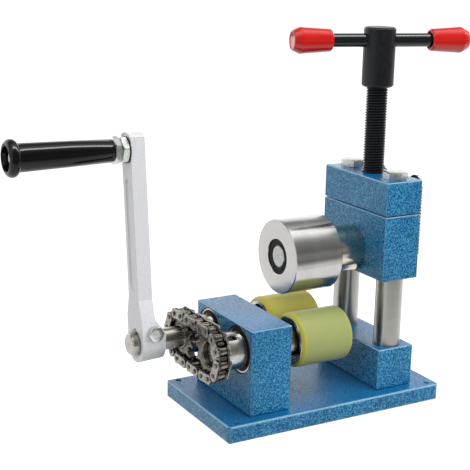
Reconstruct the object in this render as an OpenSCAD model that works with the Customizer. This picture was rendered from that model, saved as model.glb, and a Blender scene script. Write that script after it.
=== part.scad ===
// Hand cranked bending machine for bangles and rings: two chain-linked lower rollers,
// and an upper roller on a head that a screw presses down along two columns.
// X runs along the roller shafts with the crank at -X, Y to the rear, Z up.
// The origin is the centre of the base plate's underside. All lengths are in millimetres.

/* [Base plate] */
// Length of the plate, along the roller shafts
plate_l = 184; // [160:1:220]
// Width of the plate
plate_w = 100; // [98:1:130]
// Thickness of the plate
plate_t = 13; // [12:0.5:18]
// Radius of the plate's upright corners
plate_corner_r = 5; // [3:0.5:8]
// Diameter of the four mounting holes
mount_hole_d = 4.5; // [3.5:0.1:5.5]
// Distance of the mounting holes from the plate's ends
mount_inset_x = 8.5; // [6:0.5:9]
// Distance of the mounting holes from the plate's long sides
mount_inset_y = 5.5; // [5:0.5:8]

/* [Bearing block] */
// Thickness of the block, along the shafts
block_t = 33; // [30:0.5:40]
// Height of the block above the plate
block_h = 63.5; // [63.5:0.5:75]
// Distance of the block from the plate's middle
block_out = 37; // [34:0.5:40]
// Wall between a bearing bore and the block's side
block_side_wall = 2.1; // [2:0.1:4]
// Rounding of the painted blocks' edges
soft_r = 1.6; // [1:0.1:2.5]
// Rounding of the base plate's edges
plate_soft_r = 2.4; // [1.6:0.1:3]

/* [Shafts and bearings] */
// Height of the lower shafts above the plate
shaft_h = 44.5; // [40:0.5:44.5]
// Diameter of the lower shafts in their bearings, and of the upper axle
shaft_d = 17; // [16:0.5:17.5]
// Diameter of the shaft's end that carries the crank
crank_shaft_d = 16; // [14:0.5:16]
// Outer diameter of the ball bearings in the block
bearing_od = 35; // [34:0.5:36]
// Width of those bearings
bearing_w = 10; // [8:0.5:11]
// Outer diameter of the thin bearings in the upper roller
thin_od = 26; // [25.5:0.5:27]
// Width of the thin bearings
thin_w = 5; // [4.5:0.5:7]

/* [Chain drive] */
// Pitch of the roller chain
chain_pitch = 9.525; // [9.525:0.1:9.825]
// Teeth on each sprocket
sprocket_teeth = 11; // [10:1:11]
// Links in the chain
chain_links = 20; // [20:2:22]
// Diameter of the chain's rollers
chain_roller_d = 6.35; // [6:0.05:6.5]
// Width of a sprocket's teeth
tooth_w = 5.3; // [4.8:0.1:5.5]
// Diameter of a sprocket's hub
sprocket_hub_d = 27; // [26:0.5:28]
// Length of a sprocket's hub, from its teeth to the bearing
sprocket_hub_l = 19.8; // [17:0.5:24]

/* [Lower rollers] */
// Outer diameter of the polyurethane sleeves
sleeve_d = 40; // [38:0.5:42]
// Length of the sleeves
sleeve_l = 43.5; // [38:0.5:46]
// Diameter of the steel cores
core_d = 35; // [33:0.5:36]
// Distance from the bearing block to the sleeves
roller_gap = 9.5; // [8:0.5:12]

/* [Upper roller] */
// Diameter of the upper roller
upper_d = 55; // [50:0.5:58]
// Length of the upper roller
upper_l = 39.5; // [34:0.5:42]
// Diameter of the spacer between the upper roller and the head
spacer_d = 35; // [28:0.5:38]

/* [Columns, head and bridge] */
// Diameter of the columns
column_d = 20; // [18:0.5:20.5]
// Distance between the columns' axes
column_spacing = 55; // [50:0.5:56]
// Length of the columns above the plate
column_l = 133.2; // [131:0.1:145]
// Distance of the columns from the plate's middle
column_out = 56; // [55:0.5:60]
// Thickness of the block at the columns' feet
foot_t = 32; // [28:0.5:34]
// Width of the foot block
foot_w = 80; // [80:0.5:88]
// Height of the foot block
foot_h = 31.5; // [25:0.5:36]
// Thickness of the moving head and the bridge
head_t = 32; // [32:0.5:34]
// Width of the moving head and the bridge
head_w = 80; // [80:0.5:88]
// Height of the moving head
head_h = 48.9; // [46:0.1:52]
// Height of the upper axle above the head's underside
axle_rise = 18; // [17:0.5:22]
// Height of the bridge
bridge_h = 25; // [24:0.5:30]

/* [Return springs] */
// Outer diameter of the return springs
spring_od = 13.4; // [12.4:0.2:13.8]
// Diameter of their wire
spring_wire = 1.8; // [1.4:0.1:1.8]
// Closed turns of each spring
spring_turns = 20; // [16:1:21]
// Distance between the two springs
spring_spacing = 41.6; // [38:0.2:46]

/* [Press screw] */
// Outside diameter of the screw
screw_d = 16; // [14:0.5:16]
// Length of screw in sight between the bridge and the hub
screw_out = 64; // [50:1:80]
// Diameter of the hub on top of the screw
hub_d = 23.5; // [22:0.5:27]
// Length of the hub
hub_l = 43.3; // [40:0.1:50]
// Height of the cross bar above the hub's underside
bar_rise = 33.8; // [31:0.1:34.2]
// Diameter of the cross bar
bar_d = 10; // [8:0.5:10.5]
// Reach of the cross bar's grips from the screw's axis
bar_reach = 68.5; // [60:0.5:90]
// Angle of the cross bar at rest, about the screw
bar_turn = -13.9; // [-40:0.1:40]
// Length of a bar grip
bar_grip_l = 30; // [24:0.5:36]
// Largest diameter of a bar grip
bar_grip_d = 19.5; // [18:0.5:22]
// Diameter of a bar grip's inner end
bar_grip_end_d = 16.4; // [15:0.1:17]

/* [Crank] */
// Distance from the crank shaft to the handle's axis
crank_r = 140.7; // [120:0.1:160]
// Length of shaft between the crank's hub and the sprocket's teeth
crank_run = 17.6; // [15:0.2:24]
// Length of the crank's hub along the shaft
crank_hub_l = 18; // [16:0.5:20]
// Width of the crank's hub
crank_hub_w = 25.6; // [24:0.1:27]
// Thickness of the crank's arm
arm_t = 10.6; // [9:0.1:12]
// Width of the arm at its handle end
arm_w = 15.6; // [13:0.1:16.4]
// Outward lean of the arm
arm_lean = 2.8; // [1:0.05:3]
// Length of the handle's grip
grip_l = 74; // [70:0.5:90]
// Diameter of the grip at its inner end
grip_d0 = 16.2; // [15:0.1:17]
// Diameter of the grip before its bead
grip_d1 = 19.6; // [18:0.1:20]
// Outer diameter of the bead
bead_d = 25.6; // [24:0.2:28]

/* [Hidden] */
$fn = 72;

// How far a cut runs past the face that it opens
cut = 1;
// Radial clearance of a running fit
run = 0.05;
// Clearance between a ball and its race
race_clear = 0.2;

// Roller shafts
shaft_spacing = (chain_links - sprocket_teeth) * chain_pitch / 2;
shaft_z = plate_t + shaft_h;
front_y = -shaft_spacing / 2;
rear_y = shaft_spacing / 2;

// Bearing block
block_x1 = -block_out;
block_x0 = block_x1 - block_t;
block_xc = (block_x0 + block_x1) / 2;
block_w = shaft_spacing + bearing_od + 2 * block_side_wall;
bearing_recess = 1;
bearing_ledge = 3;
shoulder_d = bearing_od - 2 * bearing_ledge;
bearing_x = [block_x0 + bearing_recess, block_x1 - bearing_recess - bearing_w];

// Ball bearings, as shares of the space between bore and outer ring
ring_share = 0.3;
ball_share = 0.52;
seal_t = 0.8;
seal_inset = 0.5;
seal_gap = 0.15;
block_balls = 9;
roller_balls_n = 13;

// Block screws and column screws, M8 socket heads in counterbores under the plate
m8_d = 8;
m8_head_d = 13;
m8_head_h = 8;
m8_sink = 8.6;
m8_clear = 0.2;
m8_socket_af = 6;
m8_socket_depth = 4;
m8_grip = 14;
block_screw_y = 28;
foot_screw_y = 9;

// Columns, head and bridge
column_x = column_out;
column_y = column_spacing / 2;
column_top = plate_t + column_l;
head_gap = 0.4;
head_top = column_top - head_gap;
head_z = head_top - head_h;
bridge_top = column_top + bridge_h;
head_x0 = column_x - head_t / 2;
head_x1 = column_x + head_t / 2;
axle_z = head_z + axle_rise;
bush_wall = 1.5;
bush_d = column_d + 2 * bush_wall;
bush_l = 18;
bush_inset = 1;

// M10 hex bolts through the bridge into the columns
m10_d = 10;
m10_af = 16;
m10_head_h = 5.4;
m10_grip = 20;
bolt_chamfer = 1;

// Lower rollers
sleeve_x0 = block_x1 + roller_gap;
sleeve_x1 = sleeve_x0 + sleeve_l;
sleeve_chamfer = 2;
core_rim = 3;
core_recess = 8;
shoulder_l = roller_gap + bearing_recess + core_recess;
shaft_shoulder_d = 22;
shaft_end_x = sleeve_x1 - core_recess;
end_washer_d = 24;
end_washer_t = 2;
end_screw_head_h = 5;
end_screw_l = 20;

// Upper roller and its axle
upper_set_in = 1;
upper_x0 = sleeve_x0 + upper_set_in;
upper_x1 = upper_x0 + upper_l;
thin_recess = 1.2;
thin_x = [upper_x0 + thin_recess, upper_x1 - thin_recess - thin_w];
upper_web_d = 21;
axle_set_back = 0.9;
axle_thread_d = 12;
axle_thread_l = 14;
axle_nut_af = 19;
axle_nut_h = 10;

// Sprockets and chain; pins are counted along the chain from the rear sprocket's lowest point
pitch_r = chain_pitch / 2 / sin(180 / sprocket_teeth);
tip_r = chain_pitch * (0.6 + 1 / tan(180 / sprocket_teeth)) / 2;
sprocket_x = bearing_x[0] - sprocket_hub_l - tooth_w / 2;
tooth_x0 = sprocket_x - tooth_w / 2;
tooth_play = 0.12;
tooth_mouth = 10.2;
tooth_seat_r = chain_roller_d / 2 + tooth_play;
flank_slope = (tooth_mouth / 2 - tooth_seat_r) / (tip_r - pitch_r);
flank_run = tip_r - pitch_r + cut;
straight_n = shaft_spacing / chain_pitch;
wrap_n = sprocket_teeth / 2;
plate_thick = 1.3;
plate_gap = 0.1;
inner_w = 5.72;
inner_plate_x = inner_w / 2;
outer_plate_x = inner_plate_x + plate_thick + plate_gap;
link_r = 4.1;
link_waist = 6.4;
pin_d = 3.28;
pin_over = 1.1;
pin_half = outer_plate_x + plate_thick + pin_over;
pin_fit = 0.01;
chain_clear = 0.3;
hub_neck_d = 2 * (pitch_r - link_r - chain_clear);
hub_neck_l = pin_half - tooth_w / 2 + chain_clear;
set_screw_d = 5;
set_screw_l = 4.2;
set_screw_socket_af = 2.5;
set_screw_in = 11.6;
set_screw_x = sprocket_x + tooth_w / 2 + set_screw_in;
set_screw_angle = 28;
bore_chamfer = 1;
front_shaft_recess = 4;

// Crank
hub_x1 = tooth_x0 - crank_run;
hub_x0 = hub_x1 - crank_hub_l;
hub_xc = (hub_x0 + hub_x1) / 2;
arm_offset = 3.4;
stub_out = 5.4;
crank_z = shaft_z;
handle_z = crank_z + crank_r;
arm_end_over = 11.9;
arm_crown_r = 14;
crown_z = crank_r + arm_end_over - arm_crown_r;
arm_seat_d = 22;
slot_w = 3.6;
slot_h = 3.2;
clamp_d = 6;
clamp_rise = 10.3;
clamp_x = hub_xc;
clamp_nut_af = 10;
clamp_nut_h = 4.6;
clamp_head_h = 4;
clamp_over = 0.4;
shank_w0 = 16.8;
hub_draft = 1;
shank_z0 = 34;
hub_side_z = 18;
shoulder_z = 8.5;
neck_in = 4;
neck_inset = 0.2;
neck_half = crank_hub_w / 2 - neck_inset;
neck_mid_z = 14.5;
neck_z = 20;
panel_w = 9;
panel_z0 = 43.5;
panel_z1 = 116;
panel_depth = 0.8;

// Handle
handle_bolt_d = 10;
handle_nut_af = 17;
handle_nut_t = 5;
handle_washer_d = 19;
handle_washer_t = 0.8;
handle_nut_gap = 0.2;
arm_face_x = hub_xc + arm_outer(crank_r);
grip_x1 = arm_face_x - handle_washer_t - 2 * handle_nut_t - 2 * handle_nut_gap;
grip_x0 = grip_x1 - grip_l;
socket_d = 17.2;
socket_l = 6;
handle_head_d = 11.2;
handle_head_h = 3.6;
bead_r = 3.9;

// Press screw and its handle
screw_top_in = 18;
hub_z = bridge_top + screw_out;
nose_d = 11;
nose_l = 6;
nose_clear = 0.3;
pocket_l = 5;
screw_z0 = head_top - pocket_l;
bar_z = hub_z + bar_rise;
hub_round = 1.2;
bar_shift = 1;
cap_wall = 4;
cap_bore_l = bar_grip_l - cap_wall;
cap_mouth_d = 12.6;
cap_mouth_l = 2;
cap_shoulder = 6.8;
cap_tip_d = 14;

// Return springs and their studs
stud_d = 5;
stud_head_d = 8;
stud_head_t = 1.6;
stud_in = 3.4;
spring_gap = 0.7;
spring_x = head_x1 + spring_gap + spring_od / 2;
spring_rm = (spring_od - spring_wire) / 2;
hook_bend = 2.6;
hook_clear = 0.25;
stud_lift = spring_rm - spring_wire / 2 - stud_d / 2 - hook_clear;
top_stud_drop = 4.7;
top_stud_z = bridge_top - top_stud_drop;
low_stud_rise = 9.5;
low_stud_z = head_z + low_stud_rise;
coil_z1 = top_stud_z - stud_lift - hook_bend;
coil_z0 = low_stud_z + stud_lift + hook_bend;

// Cylinder along X from x0 to x1
module x_rod(x0, x1, d, y = 0, z = 0) {
  translate([x0, y, z]) rotate([0, 90, 0]) cylinder(h = x1 - x0, d = d);
}

// Tube along X from x0 to x1
module x_tube(x0, x1, d, bore, y = 0, z = 0) {
  difference() {
    x_rod(x0, x1, d, y, z);
    x_rod(x0 - cut, x1 + cut, bore, y, z);
  }
}

// Hexagonal prism along X
module x_hex(x0, x1, af, y = 0, z = 0) {
  translate([x0, y, z]) rotate([0, 90, 0]) cylinder(h = x1 - x0, d = af / cos(30), $fn = 6);
}

// Rectangle with round corners, made of true arcs, centred on the origin
module soft_rect(a, b, r) {
  square([a - 2 * r, b], center = true);
  square([a, b - 2 * r], center = true);
  for (sx = [-1, 1], sy = [-1, 1]) translate([sx * (a / 2 - r), sy * (b / 2 - r)]) circle(r = r);
}

// Block with its underside on z = 0, upright corners of radius rc and softly rounded edges
module soft_block(a, b, h, rc, r) {
  intersection() {
    linear_extrude(h) soft_rect(a, b, rc);
    translate([0, b / 2, h / 2]) rotate([90, 0, 0]) linear_extrude(b) soft_rect(a, h, r);
    translate([-a / 2, 0, h / 2]) rotate([90, 0, 90]) linear_extrude(a) soft_rect(b, h, r);
  }
}

// M8 socket head screw pointing up, with its head's underside sunk in the plate
module m8_screw() {
  difference() {
    union() {
      translate([0, 0, m8_sink - m8_head_h]) cylinder(h = m8_head_h, d = m8_head_d);
      translate([0, 0, m8_sink]) cylinder(h = plate_t - m8_sink + m8_grip, d = m8_d);
    }
    translate([0, 0, m8_sink - m8_head_h - cut])
      cylinder(h = m8_socket_depth + cut, d = m8_socket_af / cos(30), $fn = 6);
  }
}

// Room for that screw
module m8_hole() {
  translate([0, 0, -cut]) cylinder(h = m8_sink + cut, d = m8_head_d + 2 * m8_clear);
  cylinder(h = plate_t + cut, d = m8_d + 2 * m8_clear);
}

// Tapped hole above the plate for that screw
module m8_tapped() {
  translate([0, 0, plate_t - cut]) cylinder(h = m8_grip + 2 * cut, d = m8_d);
}

// Places of the screws under the plate
module at_block_screws() {
  for (s = [-1, 1]) translate([block_xc, s * block_screw_y, 0]) children();
}
module at_foot_screws() {
  for (s = [-1, 1]) translate([column_x, s * foot_screw_y, 0]) children();
}
module at_columns() {
  for (s = [-1, 1]) translate([column_x, s * column_y, 0]) children();
}

// Rings and balls of a ball bearing from x to x + w
function race_r(bore, od) = (bore + od) / 4;
function ring_t(bore, od) = (od - bore) / 2 * ring_share;
function ball_d(bore, od) = (od - bore) / 2 * ball_share;

module outer_ring(x, w, bore, od) {
  translate([x, 0, 0]) rotate([0, 90, 0]) rotate_extrude() difference() {
    translate([od / 2 - ring_t(bore, od), 0]) square([ring_t(bore, od), w]);
    translate([race_r(bore, od), w / 2]) circle(r = ball_d(bore, od) / 2 + race_clear);
  }
}

module inner_ring(x, w, bore, od) {
  translate([x, 0, 0]) rotate([0, 90, 0]) rotate_extrude() difference() {
    translate([bore / 2, 0]) square([ring_t(bore, od), w]);
    translate([race_r(bore, od), w / 2]) circle(r = ball_d(bore, od) / 2 + race_clear);
  }
}

module seal_pair(x, w, bore, od) {
  for (sx = [x + seal_inset, x + w - seal_inset - seal_t])
    x_tube(sx, sx + seal_t, od - 2 * ring_t(bore, od), bore + 2 * ring_t(bore, od) + 2 * seal_gap);
}

module ball_ring(x, w, bore, od, n) {
  for (i = [0:n - 1]) rotate([i * 360 / n, 0, 0])
    translate([x + w / 2, 0, race_r(bore, od)]) sphere(d = ball_d(bore, od), $fn = 24);
}

module block_bearing_places() {
  for (y = [front_y, rear_y], x = bearing_x) translate([x, y, shaft_z]) children();
}

// Base plate with its mounting holes and the counterbored screw holes
module base_plate() {
  color("steelblue") difference() {
    soft_block(plate_l, plate_w, plate_t, plate_corner_r, plate_soft_r);
    for (sx = [-1, 1], sy = [-1, 1])
      translate([sx * (plate_l / 2 - mount_inset_x), sy * (plate_w / 2 - mount_inset_y), -cut])
        cylinder(h = plate_t + 2 * cut, d = mount_hole_d);
    at_block_screws() m8_hole();
    at_foot_screws() m8_hole();
    at_columns() m8_hole();
  }
}

// Block that holds the four ball bearings of the two lower shafts
module bearing_block() {
  color("steelblue") difference() {
    translate([block_xc, 0, plate_t]) soft_block(block_t, block_w, block_h, soft_r, soft_r);
    for (y = [front_y, rear_y]) {
      x_rod(block_x0 - cut, bearing_x[0] + bearing_w, bearing_od, y, shaft_z);
      x_rod(bearing_x[1], block_x1 + cut, bearing_od, y, shaft_z);
      x_rod(block_x0 - cut, block_x1 + cut, shoulder_d, y, shaft_z);
    }
    at_block_screws() m8_tapped();
  }
}

// Foot block round the columns
module column_base() {
  color("steelblue") difference() {
    translate([column_x, 0, plate_t]) soft_block(foot_t, foot_w, foot_h, soft_r, soft_r);
    at_columns() translate([0, 0, plate_t - cut]) cylinder(h = foot_h + 2 * cut, d = column_d);
    at_foot_screws() m8_tapped();
  }
}

// Ground steel column, tapped at both ends
module column(side) {
  color("silver") difference() {
    translate([column_x, side * column_y, plate_t]) cylinder(h = column_l, d = column_d);
    translate([column_x, side * column_y, 0]) m8_tapped();
    translate([column_x, side * column_y, column_top - m10_grip])
      cylinder(h = m10_grip + cut, d = m10_d);
  }
}
module front_column() column(-1);
module rear_column() column(1);

// Bridge on top of the columns, with the nut thread for the press screw
module bridge() {
  color("steelblue") difference() {
    translate([column_x, 0, column_top]) soft_block(head_t, head_w, bridge_h, soft_r, soft_r);
    translate([column_x, 0, column_top - cut]) cylinder(h = bridge_h + 2 * cut, d = screw_d + 2 * run);
    at_columns() translate([0, 0, column_top - cut])
      cylinder(h = bridge_h + 2 * cut, d = m10_d + 2 * m8_clear);
    for (s = [-1, 1]) x_rod(head_x1 - stud_in, head_x1 + cut, stud_d, s * spring_spacing / 2, top_stud_z);
  }
}

// Hex bolts that hold the bridge on the columns
module bridge_bolts() {
  color("gainsboro") at_columns() {
    translate([0, 0, column_top - m10_grip]) cylinder(h = m10_grip + bridge_h, d = m10_d);
    intersection() {
      translate([0, 0, bridge_top]) cylinder(h = m10_head_h, d = m10_af / cos(30), $fn = 6);
      translate([0, 0, bridge_top]) rotate_extrude() polygon([
        [0, 0], [m10_af / 2 / cos(30), 0], [m10_af / 2 / cos(30), m10_head_h - bolt_chamfer],
        [m10_af / 2 - bolt_chamfer / 2, m10_head_h], [0, m10_head_h]
      ]);
    }
  }
}

module block_screws() color("dimgray") at_block_screws() m8_screw();
module column_base_screws() color("dimgray") at_foot_screws() m8_screw();
module column_screws() color("dimgray") at_columns() m8_screw();

// Ball bearings in the block
module bearing_outer_rings() {
  color("silver") block_bearing_places() outer_ring(0, bearing_w, shaft_d, bearing_od);
}
module bearing_seals() {
  color("saddlebrown") block_bearing_places() seal_pair(0, bearing_w, shaft_d, bearing_od);
}
module bearing_balls() {
  color("white") block_bearing_places() ball_ring(0, bearing_w, shaft_d, bearing_od, block_balls);
}
module shaft_inner_rings(y) {
  color("silver") for (x = bearing_x) translate([x, y, shaft_z])
    inner_ring(0, bearing_w, shaft_d, bearing_od);
}
module rear_inner_rings() shaft_inner_rings(rear_y);
module front_inner_rings() shaft_inner_rings(front_y);

// Stud with a head that keeps a spring's hook on, standing on the face at x = head_x1
module spring_stud(y, z) {
  stud_x1 = spring_x + spring_wire / 2 + run;
  x_rod(head_x1 - stud_in, stud_x1, stud_d, y, z);
  x_rod(stud_x1, stud_x1 + stud_head_t, stud_head_d, y, z);
}
module bridge_spring_studs() {
  color("gainsboro") for (s = [-1, 1]) spring_stud(s * spring_spacing / 2, top_stud_z);
}
module head_spring_studs() {
  color("gainsboro") for (s = [-1, 1]) spring_stud(s * spring_spacing / 2, low_stud_z);
}

// Wire of an extension spring: lower hook, coil and upper hook, as one line of points
rings_per_turn = 8;
hook_rings = 7;
hook_sweep = 190;
bend_rings = 3;
coil_end = acos(hook_bend / spring_rm);
coil_sweep = 360 * spring_turns + 2 * coil_end;
coil_rings = ceil(rings_per_turn * coil_sweep / 360);

function coil_points() = [
  for (i = [0:coil_rings])
    let (a = -coil_end + coil_sweep * i / coil_rings)
    [spring_rm * cos(a), spring_rm * sin(a), coil_z0 + (coil_z1 - coil_z0) * i / coil_rings]
];
// Upper end, from the coil's end through the bend into the loop, in the coil's own axes
function hook_points() = concat(
  [
    for (i = [1:bend_rings])
      let (a = 90 * i / bend_rings, y0 = spring_rm * sin(coil_end))
      [hook_bend * (1 - sin(a)), y0 + (spring_rm - y0) * i / bend_rings, hook_bend * (1 - cos(a))]
  ],
  [
    for (i = [1:hook_rings])
      let (a = hook_sweep * i / hook_rings)
      [0, spring_rm * cos(a), hook_bend + spring_rm * sin(a)]
  ]
);
function reversed(list) = [for (i = [len(list) - 1:-1:0]) list[i]];
function spring_path() = concat(
  reversed([for (p = hook_points()) [p[0], -p[1], coil_z0 - p[2]]]),
  coil_points(),
  [for (p = hook_points()) [p[0], p[1], coil_z1 + p[2]]]
);

// Tube of round wire along a line of points
function unit(v) = v / norm(v);
function tangent(p, i) = unit(p[min(i + 1, len(p) - 1)] - p[max(i - 1, 0)]);
function side_of(p, i, old) =
  let (t = tangent(p, i))
  unit(old - (old * t) * t);
module wire_tube(p, r, sides) {
  n = len(p);
  first = side_of(p, 0, [1, 0.1, 0.2]);
  side = [for (i = 0, s = first; i < n; i = i + 1, s = i < n ? side_of(p, i, s) : s) s];
  points = [
    for (i = [0:n - 1])
      let (t = tangent(p, i), u = side[i], v = cross(t, u))
      for (k = [0:sides - 1]) p[i] + r * (cos(360 * k / sides) * u + sin(360 * k / sides) * v)
  ];
  walls = [
    for (i = [0:n - 2], k = [0:sides - 1])
      let (a = i * sides + k, b = i * sides + (k + 1) % sides)
      each [[a, a + sides, b], [b, a + sides, b + sides]]
  ];
  ends = [
    for (k = [1:sides - 2])
      each [[0, k, k + 1], [(n - 1) * sides, (n - 1) * sides + k + 1, (n - 1) * sides + k]]
  ];
  polyhedron(points = points, faces = concat(walls, ends), convexity = 20);
}

// Smallest gap between two stretches of the wire that lie over half a turn apart
function least_gap(p) = min([
  for (i = [0:len(p) - 1], j = [i + ceil(rings_per_turn / 2) + 1:1:len(p) - 1]) norm(p[i] - p[j])
]) - spring_wire;
echo(spring_least_gap = least_gap(spring_path()));

module return_springs() {
  color("dimgray") for (s = [-1, 1])
    translate([spring_x, s * spring_spacing / 2, 0]) wire_tube(spring_path(), spring_wire / 2, 6);
}

// Roller chain: place of pin i, counted in pitches along the chain from the rear sprocket's foot
function pin_at(i) =
  let (s = i % chain_links, step = 360 / sprocket_teeth)
  s < straight_n ? [rear_y - s * chain_pitch, shaft_z - pitch_r]
  : s < straight_n + wrap_n
    ? let (a = -90 - (s - straight_n) * step) [front_y + pitch_r * cos(a), shaft_z + pitch_r * sin(a)]
  : s < 2 * straight_n + wrap_n
    ? [front_y + (s - straight_n - wrap_n) * chain_pitch, shaft_z + pitch_r]
  : let (a = 90 - (s - 2 * straight_n - wrap_n) * step) [rear_y + pitch_r * cos(a), shaft_z + pitch_r * sin(a)];

// Flat link plate from pin i to pin i + 1, with its near face at x
module link_plate(i, x) {
  a = pin_at(i);
  b = pin_at(i + 1);
  translate([x, a[0], a[1]]) rotate([atan2(b[1] - a[1], b[0] - a[0]), 0, 0])
    rotate([90, 0, 90]) linear_extrude(plate_thick) difference() {
      union() {
        circle(r = link_r);
        translate([norm(b - a), 0]) circle(r = link_r);
        translate([0, -link_waist / 2]) square([norm(b - a), link_waist]);
      }
      circle(d = pin_d + 2 * pin_fit);
      translate([norm(b - a), 0]) circle(d = pin_d + 2 * pin_fit);
    }
}
module chain_outer_plates() {
  color("darkgray") for (i = [0:2:chain_links - 2]) {
    link_plate(i, sprocket_x + outer_plate_x);
    link_plate(i, sprocket_x - outer_plate_x - plate_thick);
  }
}
module chain_inner_plates() {
  color("gray") for (i = [1:2:chain_links - 1]) {
    link_plate(i, sprocket_x + inner_plate_x);
    link_plate(i, sprocket_x - inner_plate_x - plate_thick);
  }
}
module chain_rollers() {
  color("lightgray") for (i = [0:chain_links - 1])
    x_tube(sprocket_x - inner_w / 2 + plate_gap, sprocket_x + inner_w / 2 - plate_gap,
      chain_roller_d, pin_d + 2 * pin_fit, pin_at(i)[0], pin_at(i)[1]);
}
module chain_pins() {
  color("dimgray") for (i = [0:chain_links - 1])
    x_rod(sprocket_x - pin_half, sprocket_x + pin_half, pin_d, pin_at(i)[0], pin_at(i)[1]);
}

// Sprocket with hub; first is the angle of one tooth gap, from +Y towards +Z
module sprocket(y, first) {
  color("gray") difference() {
    union() {
      translate([tooth_x0, y, shaft_z]) rotate([90, 0, 90]) linear_extrude(tooth_w) difference() {
        circle(r = tip_r);
        for (k = [0:sprocket_teeth - 1]) rotate(first + k * 360 / sprocket_teeth) {
          translate([pitch_r, 0]) circle(r = tooth_seat_r);
          translate([pitch_r, 0]) polygon([
            [0, -tooth_seat_r], [flank_run, -tooth_seat_r - flank_slope * flank_run],
            [flank_run, tooth_seat_r + flank_slope * flank_run], [0, tooth_seat_r]
          ]);
        }
      }
      x_rod(tooth_x0 + tooth_w, bearing_x[0], hub_neck_d, y, shaft_z);
      x_rod(tooth_x0 + tooth_w + hub_neck_l, bearing_x[0], sprocket_hub_d, y, shaft_z);
    }
    x_rod(tooth_x0 - cut, bearing_x[0] + cut, shaft_d, y, shaft_z);
    translate([tooth_x0 - cut, y, shaft_z]) rotate([0, 90, 0])
      cylinder(h = bore_chamfer + cut, r1 = shaft_d / 2 + bore_chamfer + cut, r2 = shaft_d / 2);
    at_set_screw(y) cylinder(h = sprocket_hub_d, d = set_screw_d);
  }
}
module rear_sprocket() sprocket(rear_y, 90 + (2 * straight_n + wrap_n) * 360 / sprocket_teeth);
module front_sprocket() sprocket(front_y, -90 + straight_n * 360 / sprocket_teeth);

// Set screw in a sprocket's hub
module at_set_screw(y) {
  translate([set_screw_x, y, shaft_z]) rotate([set_screw_angle, 0, 0]) translate([0, 0, shaft_d / 2])
    children();
}
module set_screw(y) {
  color("dimgray") at_set_screw(y) difference() {
    cylinder(h = set_screw_l, d = set_screw_d);
    translate([0, 0, set_screw_l / 2])
      cylinder(h = set_screw_l, d = set_screw_socket_af / cos(30), $fn = 6);
  }
}
module rear_set_screw() set_screw(rear_y);
module front_set_screw() set_screw(front_y);

// Shaft through the bearings into a lower roller, tapped for the screw that holds the roller
module roller_shaft(x0, y) {
  x_rod(x0, shaft_end_x, shaft_d, y, shaft_z);
  x_rod(bearing_x[1] + bearing_w, bearing_x[1] + bearing_w + shoulder_l, shaft_shoulder_d, y, shaft_z);
}
module shaft_tapping(y) {
  x_rod(shaft_end_x - end_screw_l, shaft_end_x + cut, m8_d, y, shaft_z);
}
module drive_shaft() {
  color("silver") difference() {
    union() {
      roller_shaft(tooth_x0, rear_y);
      x_rod(hub_x0 - stub_out, tooth_x0 + cut, crank_shaft_d, rear_y, shaft_z);
    }
    shaft_tapping(rear_y);
    translate([clamp_x, rear_y - crank_hub_w, shaft_z + clamp_rise])
      rotate([-90, 0, 0]) cylinder(h = 2 * crank_hub_w, d = clamp_d + 2 * m8_clear);
  }
}
module front_shaft() {
  color("silver") difference() {
    roller_shaft(tooth_x0 + front_shaft_recess, front_y);
    shaft_tapping(front_y);
  }
}

// Steel core of a lower roller, hollowed at both ends
module roller_core(y) {
  color("gainsboro") difference() {
    x_rod(sleeve_x0, sleeve_x1, core_d, y, shaft_z);
    x_rod(sleeve_x0 - cut, sleeve_x1 + cut, shaft_d, y, shaft_z);
    x_rod(sleeve_x0 - cut, sleeve_x0 + core_recess, core_d - 2 * core_rim, y, shaft_z);
    x_rod(sleeve_x1 - core_recess, sleeve_x1 + cut, core_d - 2 * core_rim, y, shaft_z);
  }
}
module rear_roller_core() roller_core(rear_y);
module front_roller_core() roller_core(front_y);

// Polyurethane sleeve on the core
module roller_sleeve(y) {
  color("darkkhaki") translate([sleeve_x0, y, shaft_z]) rotate([0, 90, 0]) rotate_extrude() polygon([
    [core_d / 2, 0], [sleeve_d / 2 - sleeve_chamfer, 0], [sleeve_d / 2, sleeve_chamfer],
    [sleeve_d / 2, sleeve_l - sleeve_chamfer], [sleeve_d / 2 - sleeve_chamfer, sleeve_l],
    [core_d / 2, sleeve_l]
  ]);
}
module rear_roller_sleeve() roller_sleeve(rear_y);
module front_roller_sleeve() roller_sleeve(front_y);

// Screw and washer that hold a lower roller on its shaft
module end_screw(y) {
  color("dimgray") difference() {
    union() {
      x_rod(shaft_end_x - end_screw_l, shaft_end_x + end_washer_t, m8_d, y, shaft_z);
      x_rod(shaft_end_x, shaft_end_x + end_washer_t, end_washer_d, y, shaft_z);
      x_rod(shaft_end_x + end_washer_t, shaft_end_x + end_washer_t + end_screw_head_h, m8_head_d, y, shaft_z);
    }
    x_hex(shaft_end_x + end_washer_t + end_screw_head_h - m8_socket_depth,
      shaft_end_x + end_washer_t + end_screw_head_h + cut, m8_socket_af, y, shaft_z);
  }
}
module rear_end_screw() end_screw(rear_y);
module front_end_screw() end_screw(front_y);

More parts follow.
